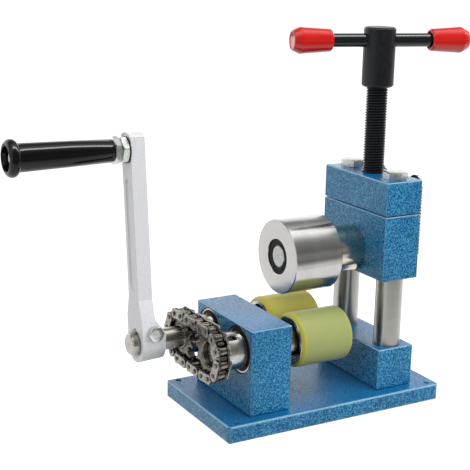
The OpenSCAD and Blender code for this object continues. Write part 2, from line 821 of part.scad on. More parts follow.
// Crank arm: a hub clamped on the shaft and a tapered arm that leans outwards. Its front view is
// drawn from the hub's centre, with the faces of the leaning arm at height z
function arm_outer(z) = -arm_offset - z * tan(arm_lean) - arm_t / 2 / cos(arm_lean);
function arm_inner(z) = arm_outer(z) + arm_t / cos(arm_lean);
module arm_outline() {
  polygon([
    [-neck_half, 0], [-neck_half, hub_side_z], [-shank_w0 / 2, shank_z0],
    [-arm_w / 2, crank_r + arm_end_over], [arm_w / 2, crank_r + arm_end_over],
    [shank_w0 / 2, shank_z0], [neck_half, hub_side_z], [neck_half, 0]
  ]);
}
module arm_profile() {
  top_z = crank_r + 2 * arm_end_over;
  hub_half = crank_hub_l / 2;
  polygon([
    [-hub_half, -crank_hub_w], [hub_half, -crank_hub_w], [hub_half, shoulder_z],
    [hub_half - neck_in, neck_mid_z], [arm_inner(neck_z), neck_z], [arm_inner(top_z), top_z],
    [arm_outer(top_z), top_z],
    [-hub_half, (hub_half - arm_offset - arm_t / 2 / cos(arm_lean)) / tan(arm_lean)]
  ]);
}
module crank_arm() {
  color("whitesmoke") translate([hub_xc, rear_y, crank_z]) difference() {
    union() {
      intersection() {
        translate([-crank_hub_l / 2 - cut, 0, 0]) rotate([0, 90, 0]) cylinder(
          h = crank_hub_l + 2 * cut, r1 = crank_hub_w / 2 + hub_draft, r2 = crank_hub_w / 2);
        translate([0, crank_hub_w, 0]) rotate([90, 0, 0]) linear_extrude(2 * crank_hub_w) arm_profile();
      }
      intersection() {
        translate([-crank_r, 0, 0]) rotate([90, 0, 90]) linear_extrude(2 * crank_r) arm_outline();
        translate([0, crank_hub_w, 0]) rotate([90, 0, 0]) linear_extrude(2 * crank_hub_w) arm_profile();
      }
    }
    // Crown on the arm's end
    difference() {
      translate([-crank_r / 2, -crank_hub_w, crown_z]) cube([crank_r, 2 * crank_hub_w, crank_r / 2]);
      x_rod(-crank_r, crank_r, 2 * arm_crown_r, 0, crown_z);
    }
    x_rod(-crank_hub_l, crank_hub_l, crank_shaft_d + 2 * run);
    translate([-crank_hub_l / 2 - cut, 0, 0]) rotate([0, 90, 0]) cylinder(h = 2 * bore_chamfer + cut,
      r1 = crank_shaft_d / 2 + 2 * bore_chamfer + cut, r2 = crank_shaft_d / 2);
    translate([-crank_hub_l, -slot_w / 2, 0]) cube([2 * crank_hub_l, slot_w, crank_shaft_d / 2 + slot_h]);
    translate([clamp_x - hub_xc, -crank_hub_w, clamp_rise]) rotate([-90, 0, 0])
      cylinder(h = 2 * crank_hub_w, d = clamp_d + 2 * run);
    x_rod(-crank_r / 2, crank_hub_l, handle_bolt_d, 0, crank_r);
    // Flat seat for the handle's nuts
    x_rod(-crank_r / 2, arm_outer(crank_r), arm_seat_d, 0, crank_r);
    // Shallow bare panel on the arm's outer face
    translate([-arm_offset, 0, 0]) rotate([0, -arm_lean, 0]) translate([-arm_t / 2 - cut, 0, 0])
      rotate([90, 0, 90]) linear_extrude(panel_depth + cut) {
        translate([-panel_w / 2, panel_z0]) square([panel_w, panel_z1 - panel_z0]);
        for (z = [panel_z0, panel_z1]) translate([0, z]) circle(d = panel_w);
      }
  }
}

// Bolt across the crank's hub that locks it in a groove of the shaft, and its nut on the front side
module clamp_bolt() {
  color("gainsboro") translate([clamp_x, rear_y, shaft_z + clamp_rise]) {
    translate([0, -neck_half - clamp_nut_h - clamp_over, 0]) rotate([-90, 0, 0])
      cylinder(h = 2 * neck_half + clamp_nut_h + clamp_over, d = clamp_d);
    translate([0, neck_half, 0]) rotate([-90, 0, 0])
      cylinder(h = clamp_head_h, d = clamp_nut_af / cos(30), $fn = 6);
  }
}
module clamp_nut() {
  color("gainsboro") translate([clamp_x, rear_y - neck_half - clamp_nut_h, shaft_z + clamp_rise])
    rotate([-90, 0, 0]) difference() {
      cylinder(h = clamp_nut_h, d = clamp_nut_af / cos(30), $fn = 6);
      translate([0, 0, -cut]) cylinder(h = clamp_nut_h + 2 * cut, d = clamp_d);
    }
}

// Handle bolt with a domed head in the grip's socket, and its two thin nuts
module handle_bolt() {
  dome_r = (handle_head_d * handle_head_d / 4 + handle_head_h * handle_head_h) / 2 / handle_head_h;
  head_x = grip_x0 + socket_l;
  color("gainsboro") {
    x_rod(head_x, arm_face_x + arm_t, handle_bolt_d, rear_y, handle_z);
    intersection() {
      translate([head_x - handle_head_h + dome_r, rear_y, handle_z]) sphere(r = dome_r);
      x_rod(head_x - handle_head_h - cut, head_x, handle_head_d + cut, rear_y, handle_z);
    }
  }
}
module handle_washer() {
  color("#1c1c1e")
    x_tube(arm_face_x - handle_washer_t, arm_face_x, handle_washer_d, handle_bolt_d, rear_y, handle_z);
}
module handle_lock_nuts() {
  nut_x1 = arm_face_x - handle_washer_t;
  color("gainsboro") for (x = [nut_x1 - handle_nut_t, nut_x1 - 2 * handle_nut_t - handle_nut_gap])
    difference() {
      x_hex(x, x + handle_nut_t, handle_nut_af, rear_y, handle_z);
      x_rod(x - cut, x + handle_nut_t + cut, handle_bolt_d, rear_y, handle_z);
    }
}

// Tapered grip that turns on the handle bolt, with a bead round its open end
module handle_grip() {
  bead_z = grip_l - bead_r;
  bead_c = bead_d / 2 - bead_r;
  color("#1c1c1e") translate([grip_x1, rear_y, handle_z]) rotate([0, -90, 0]) rotate_extrude()
    difference() {
      union() {
        polygon([
          [0, 0], [grip_d0 / 2 - bolt_chamfer, 0], [grip_d0 / 2, bolt_chamfer],
          [grip_d1 / 2, bead_z - bead_r], [grip_d1 / 2 - bolt_chamfer / 2, bead_z - bead_r + bolt_chamfer],
          [grip_d1 / 2 - bolt_chamfer / 2, bead_z], [0, bead_z]
        ]);
        translate([bead_c, bead_z]) circle(r = bead_r);
      }
      translate([-cut, -cut]) square([handle_bolt_d / 2 + run + cut, grip_l + 2 * cut]);
      translate([-cut, grip_l - socket_l]) square([socket_d / 2 + cut, socket_l + cut]);
      translate([-grip_d1, -cut]) square([grip_d1, grip_l + 2 * cut]);
    }
}

// Head that slides on the columns
module moving_head() {
  color("steelblue") difference() {
    translate([column_x, 0, head_z]) soft_block(head_t, head_w, head_h, soft_r, soft_r);
    at_columns() translate([0, 0, head_z - cut]) cylinder(h = head_h + 2 * cut, d = bush_d);
    x_rod(head_x0 - cut, head_x1 + cut, shaft_d, 0, axle_z);
    translate([column_x, 0, screw_z0]) cylinder(h = pocket_l + cut, d = nose_d + 2 * nose_clear);
    for (s = [-1, 1]) x_rod(head_x1 - stud_in, head_x1 + cut, stud_d, s * spring_spacing / 2, low_stud_z);
  }
}

// Bronze bushes, two on each column
module guide_bushes() {
  color("peru") at_columns() for (z = [head_z + bush_inset, head_top - bush_inset - bush_l])
    translate([0, 0, z]) difference() {
      cylinder(h = bush_l, d = bush_d);
      translate([0, 0, -cut]) cylinder(h = bush_l + 2 * cut, d = column_d + 2 * run);
    }
}

// Axle of the upper roller, with a threaded end behind the head
module roller_axle() {
  color("silver") {
    x_rod(upper_x0 + axle_set_back, head_x1, shaft_d, 0, axle_z);
    x_rod(head_x1, head_x1 + axle_thread_l, axle_thread_d, 0, axle_z);
  }
}
module spacer_collar() {
  color("silver") x_tube(upper_x1 - thin_recess, head_x0, thin_od - 2 * ring_t(shaft_d, thin_od) - 2 * cut,
    shaft_d, 0, axle_z);
  color("silver") x_tube(upper_x1 + head_gap, head_x0, spacer_d, shaft_d, 0, axle_z);
}
module axle_nut() {
  color("gainsboro") difference() {
    x_hex(head_x1, head_x1 + axle_nut_h, axle_nut_af, 0, axle_z);
    x_rod(head_x1 - cut, head_x1 + axle_nut_h + cut, axle_thread_d, 0, axle_z);
  }
}

// Upper roller with a thin bearing at each end
module upper_roller() {
  color("silver") difference() {
    x_rod(upper_x0, upper_x1, upper_d, 0, axle_z);
    x_rod(upper_x0 - cut, upper_x1 + cut, upper_web_d, 0, axle_z);
    x_rod(upper_x0 - cut, thin_x[0] + thin_w, thin_od, 0, axle_z);
    x_rod(thin_x[1], upper_x1 + cut, thin_od, 0, axle_z);
  }
}
module at_thin_bearings() {
  for (x = thin_x) translate([x, 0, axle_z]) children();
}
module roller_outer_rings() {
  color("silver") at_thin_bearings() outer_ring(0, thin_w, shaft_d, thin_od);
}
module roller_inner_rings() {
  color("silver") at_thin_bearings() inner_ring(0, thin_w, shaft_d, thin_od);
}
module roller_seals() {
  color("#202020") at_thin_bearings() seal_pair(0, thin_w, shaft_d, thin_od);
}
module roller_balls() {
  color("white") at_thin_bearings() ball_ring(0, thin_w, shaft_d, thin_od, roller_balls_n);
}

// Press screw, with a plain nose that turns in the head's pocket
module press_screw() {
  color("#26262a") translate([column_x, 0, 0]) {
    translate([0, 0, screw_z0]) cylinder(h = nose_l, d = nose_d);
    translate([0, 0, screw_z0 + nose_l]) cylinder(h = hub_z + screw_top_in - screw_z0 - nose_l, d = screw_d);
  }
}

// Hub on top of the screw, cross-drilled for the bar
module t_hub() {
  color("#26262a") translate([column_x, 0, hub_z]) difference() {
    rotate_extrude() {
      square([hub_d / 2 - hub_round, hub_l]);
      translate([0, hub_round]) square([hub_d / 2, hub_l - 2 * hub_round]);
      for (z = [hub_round, hub_l - hub_round]) intersection() {
        translate([hub_d / 2 - hub_round, z]) circle(r = hub_round);
        translate([0, z - hub_round]) square([hub_d / 2, 2 * hub_round]);
      }
    }
    translate([0, 0, -cut]) cylinder(h = screw_top_in + cut, d = screw_d);
    rotate([0, 0, bar_turn]) x_rod(-hub_d, hub_d, bar_d, 0, bar_rise);
  }
}

// Cross bar and its two push-on grips
module on_bar() {
  translate([column_x, 0, bar_z]) rotate([0, 0, bar_turn]) translate([bar_shift, 0, 0]) children();
}
module cross_bar() {
  color("#26262a") on_bar() x_rod(-bar_reach + cap_wall, bar_reach - cap_wall, bar_d);
}
module bar_grip(side) {
  color("#d8201c") on_bar() rotate([0, 0, side > 0 ? 0 : 180]) translate([bar_reach - bar_grip_l, 0, 0])
    rotate([0, 90, 0]) difference() {
      rotate_extrude() polygon([
        [0, 0], [bar_grip_end_d / 2 - hub_round, 0], [bar_grip_end_d / 2, hub_round],
        [bar_grip_d / 2, bar_grip_l - cap_shoulder], [bar_grip_d / 2, bar_grip_l - cap_shoulder + hub_round],
        [cap_tip_d / 2, bar_grip_l], [0, bar_grip_l]
      ]);
      translate([0, 0, -cut]) cylinder(h = cap_bore_l + cut, d = bar_d);
      translate([0, 0, -cut]) cylinder(h = cap_mouth_l + cut, d = cap_mouth_d);
    }
}
module left_bar_grip() bar_grip(-1);
module right_bar_grip() bar_grip(1);

base_plate();
bearing_block();
column_base();
front_column();
rear_column();
bridge();
bridge_bolts();
block_screws();
column_base_screws();
column_screws();
bearing_outer_rings();
bearing_seals();
bearing_balls();
bridge_spring_studs();
return_springs();
chain_outer_plates();
chain_inner_plates();
chain_rollers();
chain_pins();
drive_shaft();
rear_sprocket();
rear_set_screw();
rear_inner_rings();
rear_roller_core();
rear_roller_sleeve();
rear_end_screw();
crank_arm();
clamp_bolt();
clamp_nut();
handle_bolt();
handle_washer();
handle_lock_nuts();
handle_grip();
front_shaft();
front_sprocket();
front_set_screw();
front_inner_rings();
front_roller_core();
front_roller_sleeve();
front_end_screw();
moving_head();
guide_bushes();
roller_axle();
spacer_collar();
axle_nut();
head_spring_studs();
roller_inner_rings();
upper_roller();
roller_outer_rings();
roller_seals();
roller_balls();
press_screw();
t_hub();
cross_bar();
left_bar_grip();
right_bar_grip();
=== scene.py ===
# Looks of the hand cranked bending machine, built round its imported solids.
import math

import bmesh
import bpy
import numpy as np
from mathutils import Matrix, Vector


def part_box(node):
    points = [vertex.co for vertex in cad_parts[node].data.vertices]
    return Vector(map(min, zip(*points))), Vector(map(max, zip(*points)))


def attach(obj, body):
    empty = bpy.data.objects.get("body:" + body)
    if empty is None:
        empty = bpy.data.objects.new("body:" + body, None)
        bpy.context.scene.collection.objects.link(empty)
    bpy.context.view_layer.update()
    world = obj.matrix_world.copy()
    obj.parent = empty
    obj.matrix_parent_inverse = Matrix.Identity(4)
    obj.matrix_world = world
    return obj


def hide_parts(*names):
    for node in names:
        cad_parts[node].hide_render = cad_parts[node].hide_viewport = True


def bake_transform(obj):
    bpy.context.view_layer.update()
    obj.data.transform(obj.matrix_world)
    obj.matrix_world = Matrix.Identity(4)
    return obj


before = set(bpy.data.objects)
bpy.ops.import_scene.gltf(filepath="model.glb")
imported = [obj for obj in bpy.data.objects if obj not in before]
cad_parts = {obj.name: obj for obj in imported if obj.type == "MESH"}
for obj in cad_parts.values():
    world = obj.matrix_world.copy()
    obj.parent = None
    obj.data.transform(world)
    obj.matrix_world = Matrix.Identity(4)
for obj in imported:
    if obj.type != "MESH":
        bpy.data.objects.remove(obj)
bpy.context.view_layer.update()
MM = 0.001


# Places of the machine's parts, read from the solids

def middle(node):
    low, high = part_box(node)
    return (low + high) / 2


def across(node, axis):
    low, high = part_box(node)
    return high[axis] - low[axis]


REAR_AXIS = middle("rear_roller_sleeve")
FRONT_AXIS = middle("front_roller_sleeve")
AXLE = middle("upper_roller")
SCREW = middle("press_screw")
HANDLE = middle("handle_grip")
# Side, body and axis of both lower shafts
SHAFTS = (("front", "front_roller", FRONT_AXIS), ("rear", "crank", REAR_AXIS))
# Degrees between two faces from which on their edge stays sharp
SHARP = 32
CHAMFER = 0.6 * MM
SHAFT_R, STUB_R, STEP_R = 8.5 * MM, 8.0 * MM, 11.0 * MM
M10_R, M6_R = 5.0 * MM, 3.0 * MM
BEARING_R, BEARING_W, BEARING_WALL = 17.5 * MM, 10.0 * MM, 2.7 * MM
THIN_BEARING_W, THIN_BEARING_WALL = 5.0 * MM, 1.35 * MM
SEAL_R, SEAL_INSET, SEAL_THICK = 15.7 * MM, 0.5 * MM, 0.8 * MM
TEETH = 11
CHAIN_PITCH = 9.525 * MM
CHAIN_ROLLER_R = 3.175 * MM
CHAIN_X = middle("chain_rollers").x
PITCH_R = CHAIN_PITCH / 2 / math.sin(math.pi / TEETH)
LINK_END = 4.1 * MM


# Meshes

def along_x(centre, x=0.0):
    """Frame whose own z runs along the machine's X, from the given x."""
    return Matrix(((0, 0, 1, x), (1, 0, 0, centre.y), (0, 1, 0, centre.z), (0, 0, 0, 1)))


def along_z(centre, z=0.0):
    return Matrix.Translation((centre.x, centre.y, z))


def put(name, data):
    """Object with the data, in the scene."""
    piece = bpy.data.objects.new(name, data)
    bpy.context.scene.collection.objects.link(piece)
    return piece


def make_mesh(name, points, faces, finish, sharp=SHARP):
    """Mesh with outward faces, smooth but for edges sharper than the given angle."""
    mesh = bpy.data.meshes.new(name)
    mesh.from_pydata([tuple(p) for p in points], [], faces)
    work = bmesh.new()
    work.from_mesh(mesh)
    bmesh.ops.remove_doubles(work, verts=work.verts, dist=1e-7)
    bmesh.ops.recalc_face_normals(work, faces=work.faces)
    work.to_mesh(mesh)
    work.free()
    mesh.shade_smooth()
    mesh.set_sharp_from_angle(angle=math.radians(sharp))
    mesh.materials.append(finish)
    return put(name, mesh)


def soften(profile, radius, steps=3, loop=False):
    """The profile with each plain corner off the axis turned into a small arc."""
    count = len(profile)
    nearly_straight, most_of_side = math.radians(168), 0.42
    result = []
    for i, here in enumerate(profile):
        last = i in (0, count - 1) and not loop
        corner = Vector(here)
        into, out = Vector(profile[i - 1]) - corner, Vector(profile[(i + 1) % count]) - corner
        if last or here[0] == 0 or into.angle(out) > nearly_straight:
            result.append(here)
            continue
        reach = min(radius, most_of_side * into.length, most_of_side * out.length)
        a, b = corner + into.normalized() * reach, corner + out.normalized() * reach
        for k in range(steps + 1):
            t = k / steps
            point = (1 - t) ** 2 * a + 2 * t * (1 - t) * corner + t ** 2 * b
            result.append((point.x, point.y))
    return result


def revolve(name, profile, place, finish, count=96, loop=False, sharp=SHARP):
    """Solid of revolution about the place's z. A profile point is (radius, height), and
    either may be an array with one value for each step round the axis."""
    angle = np.arange(count) * 2 * np.pi / count
    points, rings, faces = [], [], []
    for radius, height in profile:
        if np.isscalar(radius) and radius == 0:
            rings.append([len(points)])
            points.append(place @ Vector((0, 0, height)))
            continue
        radii = np.broadcast_to(radius, count)
        heights = np.broadcast_to(height, count)
        rings.append(list(range(len(points), len(points) + count)))
        for a, r, h in zip(angle, radii, heights):
            points.append(place @ Vector((r * math.cos(a), r * math.sin(a), h)))
    following = rings[1:] + ([rings[0]] if loop else [])
    for low, high in zip(rings, following):
        for i in range(count):
            j = (i + 1) % count
            if len(low) == 1:
                faces.append((low[0], high[j], high[i]))
            elif len(high) == 1:
                faces.append((low[i], low[j], high[0]))
            else:
                faces.append((low[i], low[j], high[j], high[i]))
    return make_mesh(name, points, faces, finish, sharp)


def rod(length, radius, chamfer, start=0.0):
    return [(0, start), (radius - chamfer, start), (radius, start + chamfer),
            (radius, start + length - chamfer), (radius - chamfer, start + length),
            (0, start + length)]


def tube(length, radius, bore, chamfer, start=0.0):
    """Closed section of a tube with chamfered outer edges."""
    end = start + length
    return [(bore, start), (radius - chamfer, start), (radius, start + chamfer),
            (radius, end - chamfer), (radius - chamfer, end), (bore, end)]


def hexagon(flats, low, high, bore, turn, both_ends=True):
    """Section of a hex nut, or of a head from its underside's corners on. A cone turns down the
    corners of the free ends."""
    steps = 96
    angle = np.arange(steps) * 2 * np.pi / steps
    tiny = 1e-9
    side = np.mod(angle - turn + tiny, np.pi / 3) - np.pi / 6
    corner = flats / 2 / np.cos(side)
    flat, cone = 0.47 * flats, math.radians(28)
    drop = (corner - flat) * math.tan(cone)
    start = [(bore, low), (flat, low), (corner, low + drop)] if both_ends else [(corner, low)]
    return start + [(corner, high - drop), (flat, high), (bore, high)]


def join(name, parts):
    """The parts as one mesh."""
    mesh = bpy.data.meshes.new(name)
    work = bmesh.new()
    for part in parts:
        work.from_mesh(part.data)
    work.to_mesh(mesh)
    work.free()
    for material in parts[0].data.materials:
        mesh.materials.append(material)
    for part in parts:
        bpy.data.objects.remove(part)
    mesh.set_sharp_from_angle(angle=math.radians(SHARP))
    return put(name, mesh)


def settle(piece):
    """The piece with its modifiers applied."""
    view = bpy.context.evaluated_depsgraph_get()
    mesh = bpy.data.meshes.new_from_object(piece.evaluated_get(view), depsgraph=view)
    piece.modifiers.clear()
    piece.data = mesh
    mesh.name = piece.name
    return piece


def eased_copy(name, node, finish, bevel, sharp=SHARP, steps=2):
    """Copy of a CAD node with whole faces, smooth curves and rounded edges."""
    work = bmesh.new()
    work.from_mesh(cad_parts[node].data)
    bmesh.ops.remove_doubles(work, verts=work.verts, dist=2e-6)
    bmesh.ops.dissolve_limit(work, angle_limit=math.radians(0.6), verts=work.verts, edges=work.edges)
    mesh = bpy.data.meshes.new(name)
    for layer in list(work.loops.layers.float_vector.values()):
        work.loops.layers.float_vector.remove(layer)
    work.to_mesh(mesh)
    work.free()
    mesh.shade_smooth()
    mesh.set_sharp_from_angle(angle=math.radians(sharp))
    mesh.materials.clear()
    mesh.materials.append(finish)
    piece = put(name, mesh)
    rounding = piece.modifiers.new("rounding", "BEVEL")
    rounding.width = bevel
    rounding.segments = steps
    rounding.limit_method = "ANGLE"
    rounding.angle_limit = math.radians(sharp)
    rounding.use_clamp_overlap = True
    piece.modifiers.new("flat faces stay flat", "WEIGHTED_NORMAL").keep_sharp = True
    return settle(piece)


def place_on(piece, body, nodes):
    """The piece rides on the body and stands for the nodes."""
    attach(piece, body)
    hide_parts(*nodes)
    return piece


def turned_piece(name, section, place, finish, body, node, slot, **shape):
    """Solid of revolution that stands for the node."""
    return place_on(revolve(name, section, place, finish, **shape), body, [node])


# Finishes

def srgb(code):
    """Colour written as six hex digits, in linear values."""
    parts = [int(code[i:i + 2], 16) / 255 for i in (0, 2, 4)]
    return [c / 12.92 if c <= 0.04045 else ((c + 0.055) / 1.055) ** 2.4 for c in parts] + [1.0]


class Tree:
    """A node tree and short ways to add nodes to it."""

    def __init__(self, tree):
        self.nodes = tree.nodes
        self.links = tree.links

    def plug(self, socket, value):
        """Link an output into the socket, or give the socket a plain value."""
        if isinstance(value, bpy.types.NodeSocket):
            self.links.new(value, socket)
        elif value is not None:
            socket.default_value = value

    def set(self, node, **values):
        for key, value in values.items():
            self.plug(node.inputs[key.replace("_", " ")], value)

    def add(self, kind, settings=None, **values):
        node = self.nodes.new(kind if "Node" in kind else "ShaderNode" + kind)
        for key, value in (settings or {}).items():
            setattr(node, key, value)
        self.set(node, **values)
        return node

    def operate(self, kind, operation, a, b, result):
        node = self.add(kind, {"operation": operation})
        for socket, value in zip(node.inputs, (a, b)):
            self.plug(socket, value)
        return node.outputs[result]

    def maths(self, operation, a, b=0.0):
        return self.operate("Math", operation, a, b, "Value")

    def vector(self, operation, a, b=None, result="Vector"):
        return self.operate("VectorMath", operation, a, b, result)

    def place(self):
        return self.add("TexCoord").outputs["Object"]

    def split(self, vector):
        return self.add("SeparateXYZ", Vector=vector).outputs

    def noise(self, scale, detail=2.0, vector=None):
        where = vector if vector is not None else self.place()
        return self.add("TexNoise", Scale=scale, Detail=detail, Vector=where).outputs["Fac"]

    def ramp(self, factor, stops):
        node = self.add("ValToRGB", Fac=factor)
        ends = node.color_ramp.elements
        while len(ends) < len(stops):
            ends.new(0.5)
        for stop, (where, colour) in zip(ends, stops):
            stop.position = where
            stop.color = colour
        return node.outputs["Color"]

    def tones(self, factor, dark, light, start=0.35, end=0.65):
        """Blend of two colours over the span of the factor."""
        return self.ramp(factor, [(start, dark), (end, light)])

    def grey(self, factor, low, high, start=0.3, end=0.7):
        return self.tones(factor, (low, low, low, 1), (high, high, high, 1), start, end)

    def mix(self, factor, a, b, blend="MIX"):
        node = self.add("Mix", {"data_type": "RGBA", "blend_type": blend}, Factor=factor, A=a, B=b)
        return node.outputs["Result"]


class Finish(Tree):
    """A material with one shader, and the patterns of its surface."""

    def __init__(self, name, **values):
        self.material = bpy.data.materials.new(name)
        self.material.use_nodes = True
        super().__init__(self.material.node_tree)
        self.shader = self.nodes["Principled BSDF"]
        self.look(**values)

    def look(self, **values):
        self.set(self.shader, **values)

    def bump(self, height, strength, distance):
        normal = self.add("Bump", Height=height, Strength=strength, Distance=distance).outputs["Normal"]
        self.look(Normal=normal, Coat_Normal=normal)

    def turned(self, axis, centre):
        """Height along a turned part's axis, reach from it, and the direction across the tool's
        grooves."""
        line = {"X": (1, 0, 0), "Z": (0, 0, 1)}[axis]
        moved = self.vector("SUBTRACT", self.place(), centre)
        radial = self.vector("MULTIPLY", moved, [1 - s for s in line])
        groove = self.vector("CROSS_PRODUCT", radial, line)
        normal = self.add("NewGeometry").outputs["Normal"]
        sideways = self.vector("NORMALIZE", self.vector("CROSS_PRODUCT", normal, groove))
        height = self.vector("DOT_PRODUCT", moved, line, "Value")
        reach = self.vector("LENGTH", radial, None, "Value")
        return height, reach, sideways


def hammered_enamel():
    """Blue hammertone: pale worm-like lines in a deeper blue, under a glossy dimpled skin.
    Upward faces fade to plain blue as painted shade, and rims get a painted highlight, strongest on upward
    rims."""
    f = Finish("blue hammertone enamel", Roughness=0.4, Coat_Weight=1.0, Coat_Roughness=0.14,
               Coat_IOR=1.28, Specular_IOR_Level=0.04)
    bend = 1.3 * MM
    warp = f.add("TexNoise", Scale=360.0, Detail=1.0, Vector=f.place()).outputs["Color"]
    bent = f.vector("ADD", f.place(), f.vector("MULTIPLY", warp, (bend, bend, bend)))
    line = f.maths("ABSOLUTE", f.maths("SUBTRACT", f.noise(540, detail=1.5, vector=bent), 0.5))
    worms = f.ramp(line, [(0.0, srgb("60AECB")), (0.03, srgb("2A86AF")), (0.075, srgb("076096")),
                          (0.17, srgb("04568A"))])
    normal = f.split(f.add("TexCoord").outputs["Normal"])
    facing_up = normal["Z"]
    # Upward faces fade to plain blue: painted shade, as if the pale lines caught no light there.
    plain_tops_painted_shade = f.mix(f.grey(facing_up, 0.0, 0.7, start=0.6, end=0.97), worms, srgb("0B6AA6"))
    parts = [f.maths("ABSOLUTE", normal[axis]) for axis in "XYZ"]
    flat = f.maths("MAXIMUM", f.maths("MAXIMUM", parts[0], parts[1]), parts[2])
    # Pale rims are a painted highlight, weighted towards upward rims where the overhead light falls.
    side_share = 0.25
    upward = f.maths("ADD", f.maths("MAXIMUM", facing_up, 0.0), side_share)
    rim = f.maths("MULTIPLY", f.grey(flat, 0.45, 0.0, start=0.8, end=0.985), upward)
    with_painted_rim_highlight = f.mix(rim, plain_tops_painted_shade, srgb("C4E2F0"))
    cloud = f.grey(f.noise(38), 0.86, 1.08)
    f.look(Base_Color=f.mix(1.0, with_painted_rim_highlight, cloud, "MULTIPLY"),
           Metallic=f.grey(line, 0.2, 0.0, start=0.0, end=0.06))
    f.bump(f.grey(line, 1.0, 0.0, start=0.0, end=0.14), strength=0.5, distance=0.3 * MM)
    return f.material


def turned_steel(name, tone, rough, axis, centre, rings=2600, contrast=0.86):
    """Bright steel turned on a lathe: fine rings, and reflections drawn out across them."""
    f = Finish(name, Metallic=1.0, Anisotropic=0.85)
    height, reach, sideways = f.turned(axis, centre)
    where = f.add("CombineXYZ", X=f.maths("MULTIPLY", height, rings * 0.05),
                  Y=f.maths("MULTIPLY", reach, rings), Z=0.0).outputs["Vector"]
    fine = f.noise(1.0, vector=where)
    shade = srgb(tone)
    dull = [c * contrast for c in shade[:3]] + [1.0]
    f.look(Base_Color=f.tones(fine, dull, shade, 0.3, 0.7), Tangent=sideways,
           Roughness=f.grey(fine, rough * 0.85, rough * 1.2))
    f.bump(fine, strength=0.1, distance=0.02 * MM)
    return f.material


def mottled(name, dark, light, cloud, rough, grain, span=(0.35, 0.65), **shader):
    """Faintly cloudy finish. The cloud is (scale, detail) between two colours and two
    roughnesses, and the grain is (scale, strength, depth in mm)."""
    f = Finish(name, **shader)
    noise = f.noise(*cloud)
    f.look(Base_Color=f.tones(noise, dark, light, *span), Roughness=f.grey(noise, *rough))
    scale, strength, depth = grain
    f.bump(f.noise(scale), strength, depth * MM)
    return f.material


def plain_steel(name, tone, rough, blotch, dark):
    return mottled(name, srgb(dark), srgb(tone), (blotch, 3.0), (rough, rough + 0.08), (2500, 0.1, 0.04),
                   Metallic=1.0)


def lighter(tone, factor, lift):
    """The colour a little brighter, in linear values."""
    return [min(1.0, c * factor + lift) for c in srgb(tone)[:3]] + [1.0]


def gloss(name, tone, rough, coat, shine):
    return mottled(name, srgb(tone), lighter(tone, 1.18, 0.001), (60, 2.0), (rough, rough + 0.05),
                   (220, 0.03, 0.2), (0.3, 0.7), Coat_Weight=coat, Coat_Roughness=0.06,
                   Specular_IOR_Level=shine)


def sprocket_steel(side, centre):
    """Bright turned hub on a darker oiled disc."""
    f = Finish("steel of the " + side + " sprocket", Metallic=1.0)
    disc_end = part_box(side + "_sprocket")[0].x + 5.5 * MM
    beyond_hub = f.maths("GREATER_THAN", f.turned("X", centre)[1], 13.8 * MM)
    before_hub = f.maths("LESS_THAN", f.split(f.place())["X"], disc_end)
    cloud = f.noise(260, detail=3.0)
    hub = f.tones(cloud, srgb("AAA8A3"), srgb("C6C3BE"))
    disc = f.tones(cloud, srgb("4E4A44"), srgb("76716A"))
    f.look(Base_Color=f.mix(f.maths("MAXIMUM", beyond_hub, before_hub), hub, disc),
           Roughness=f.grey(cloud, 0.2, 0.28))
    f.bump(f.noise(2500), strength=0.1, distance=0.04 * MM)
    return f.material


def polyurethane(name, tone, edge, centre_x, half):
    """Matte translucent sleeve, more yellow where light comes through its ends."""
    f = Finish(name, Roughness=0.42, Subsurface_Weight=0.3, Subsurface_Scale=4 * MM,
               Subsurface_Radius=(1.0, 0.9, 0.3), Specular_IOR_Level=0.35)
    off = f.maths("ABSOLUTE", f.maths("SUBTRACT", f.split(f.place())["X"], centre_x))
    cloud = f.maths("MULTIPLY", f.noise(140, detail=3.0), 0.035)
    colour = f.ramp(f.maths("ADD", f.maths("DIVIDE", off, half), cloud),
                    [(0.0, srgb(tone)), (0.84, srgb(tone)), (0.95, srgb(edge)), (1.0, srgb(edge))])
    f.look(Base_Color=colour)
    f.bump(f.noise(900, detail=3.0), strength=0.12, distance=0.08 * MM)
    return f.material


def rubber(name, tone):
    f = Finish(name, Roughness=0.55, Specular_IOR_Level=0.15)
    grain = f.noise(900, detail=3.0)
    f.look(Base_Color=f.tones(grain, srgb(tone), lighter(tone, 1.5, 0.004), 0.35, 0.7))
    f.bump(grain, strength=0.15, distance=0.1 * MM)
    return f.material


ENAMEL = hammered_enamel()
OXIDE = mottled("black oxide", srgb("0E0F12"), srgb("17181C"), (260, 3.0), (0.34, 0.46),
                (3000, 0.15, 0.04), (0.3, 0.7), Specular_IOR_Level=0.3)
SILVER = mottled("silver paint on cast steel", srgb("D6D6DA"), srgb("E6E6EA"), (1500, 3.0), (0.36, 0.48),
                 (900, 0.1, 0.1), Metallic=0.05, Coat_Weight=0.2, Coat_Roughness=0.2,
                 Specular_IOR_Level=0.4)
COLUMN_STEEL = {}
SHAFT_STEEL = {}
SPROCKET_STEEL = {}
for side, body, axis in SHAFTS:
    COLUMN_STEEL[side] = turned_steel("ground steel of the " + side + " column", "B4B3AE", 0.34, "Z",
                                      middle(side + "_column"), 1500, 0.8)
    SHAFT_STEEL[side] = turned_steel("steel of the " + side + " shaft", "B2ADA6", 0.2, "X", axis, 1800, 0.8)
    SPROCKET_STEEL[side] = sprocket_steel(side, axis)
ROLLER_STEEL = turned_steel("turned roller steel", "BFBDBB", 0.19, "X", AXLE)
AXLE_STEEL = turned_steel("turned axle steel", "B2B4B0", 0.25, "X", AXLE, 3000, 0.75)
SPACER_STEEL = turned_steel("turned spacer steel", "D2C8BC", 0.13, "X", AXLE, 1200)
ZINC = plain_steel("bright zinc", "E2E4E0", 0.3, 420, "BEC2BE")
RING_STEEL = plain_steel("bearing steel", "B4B2B2", 0.16, 200, "9C9A9A")
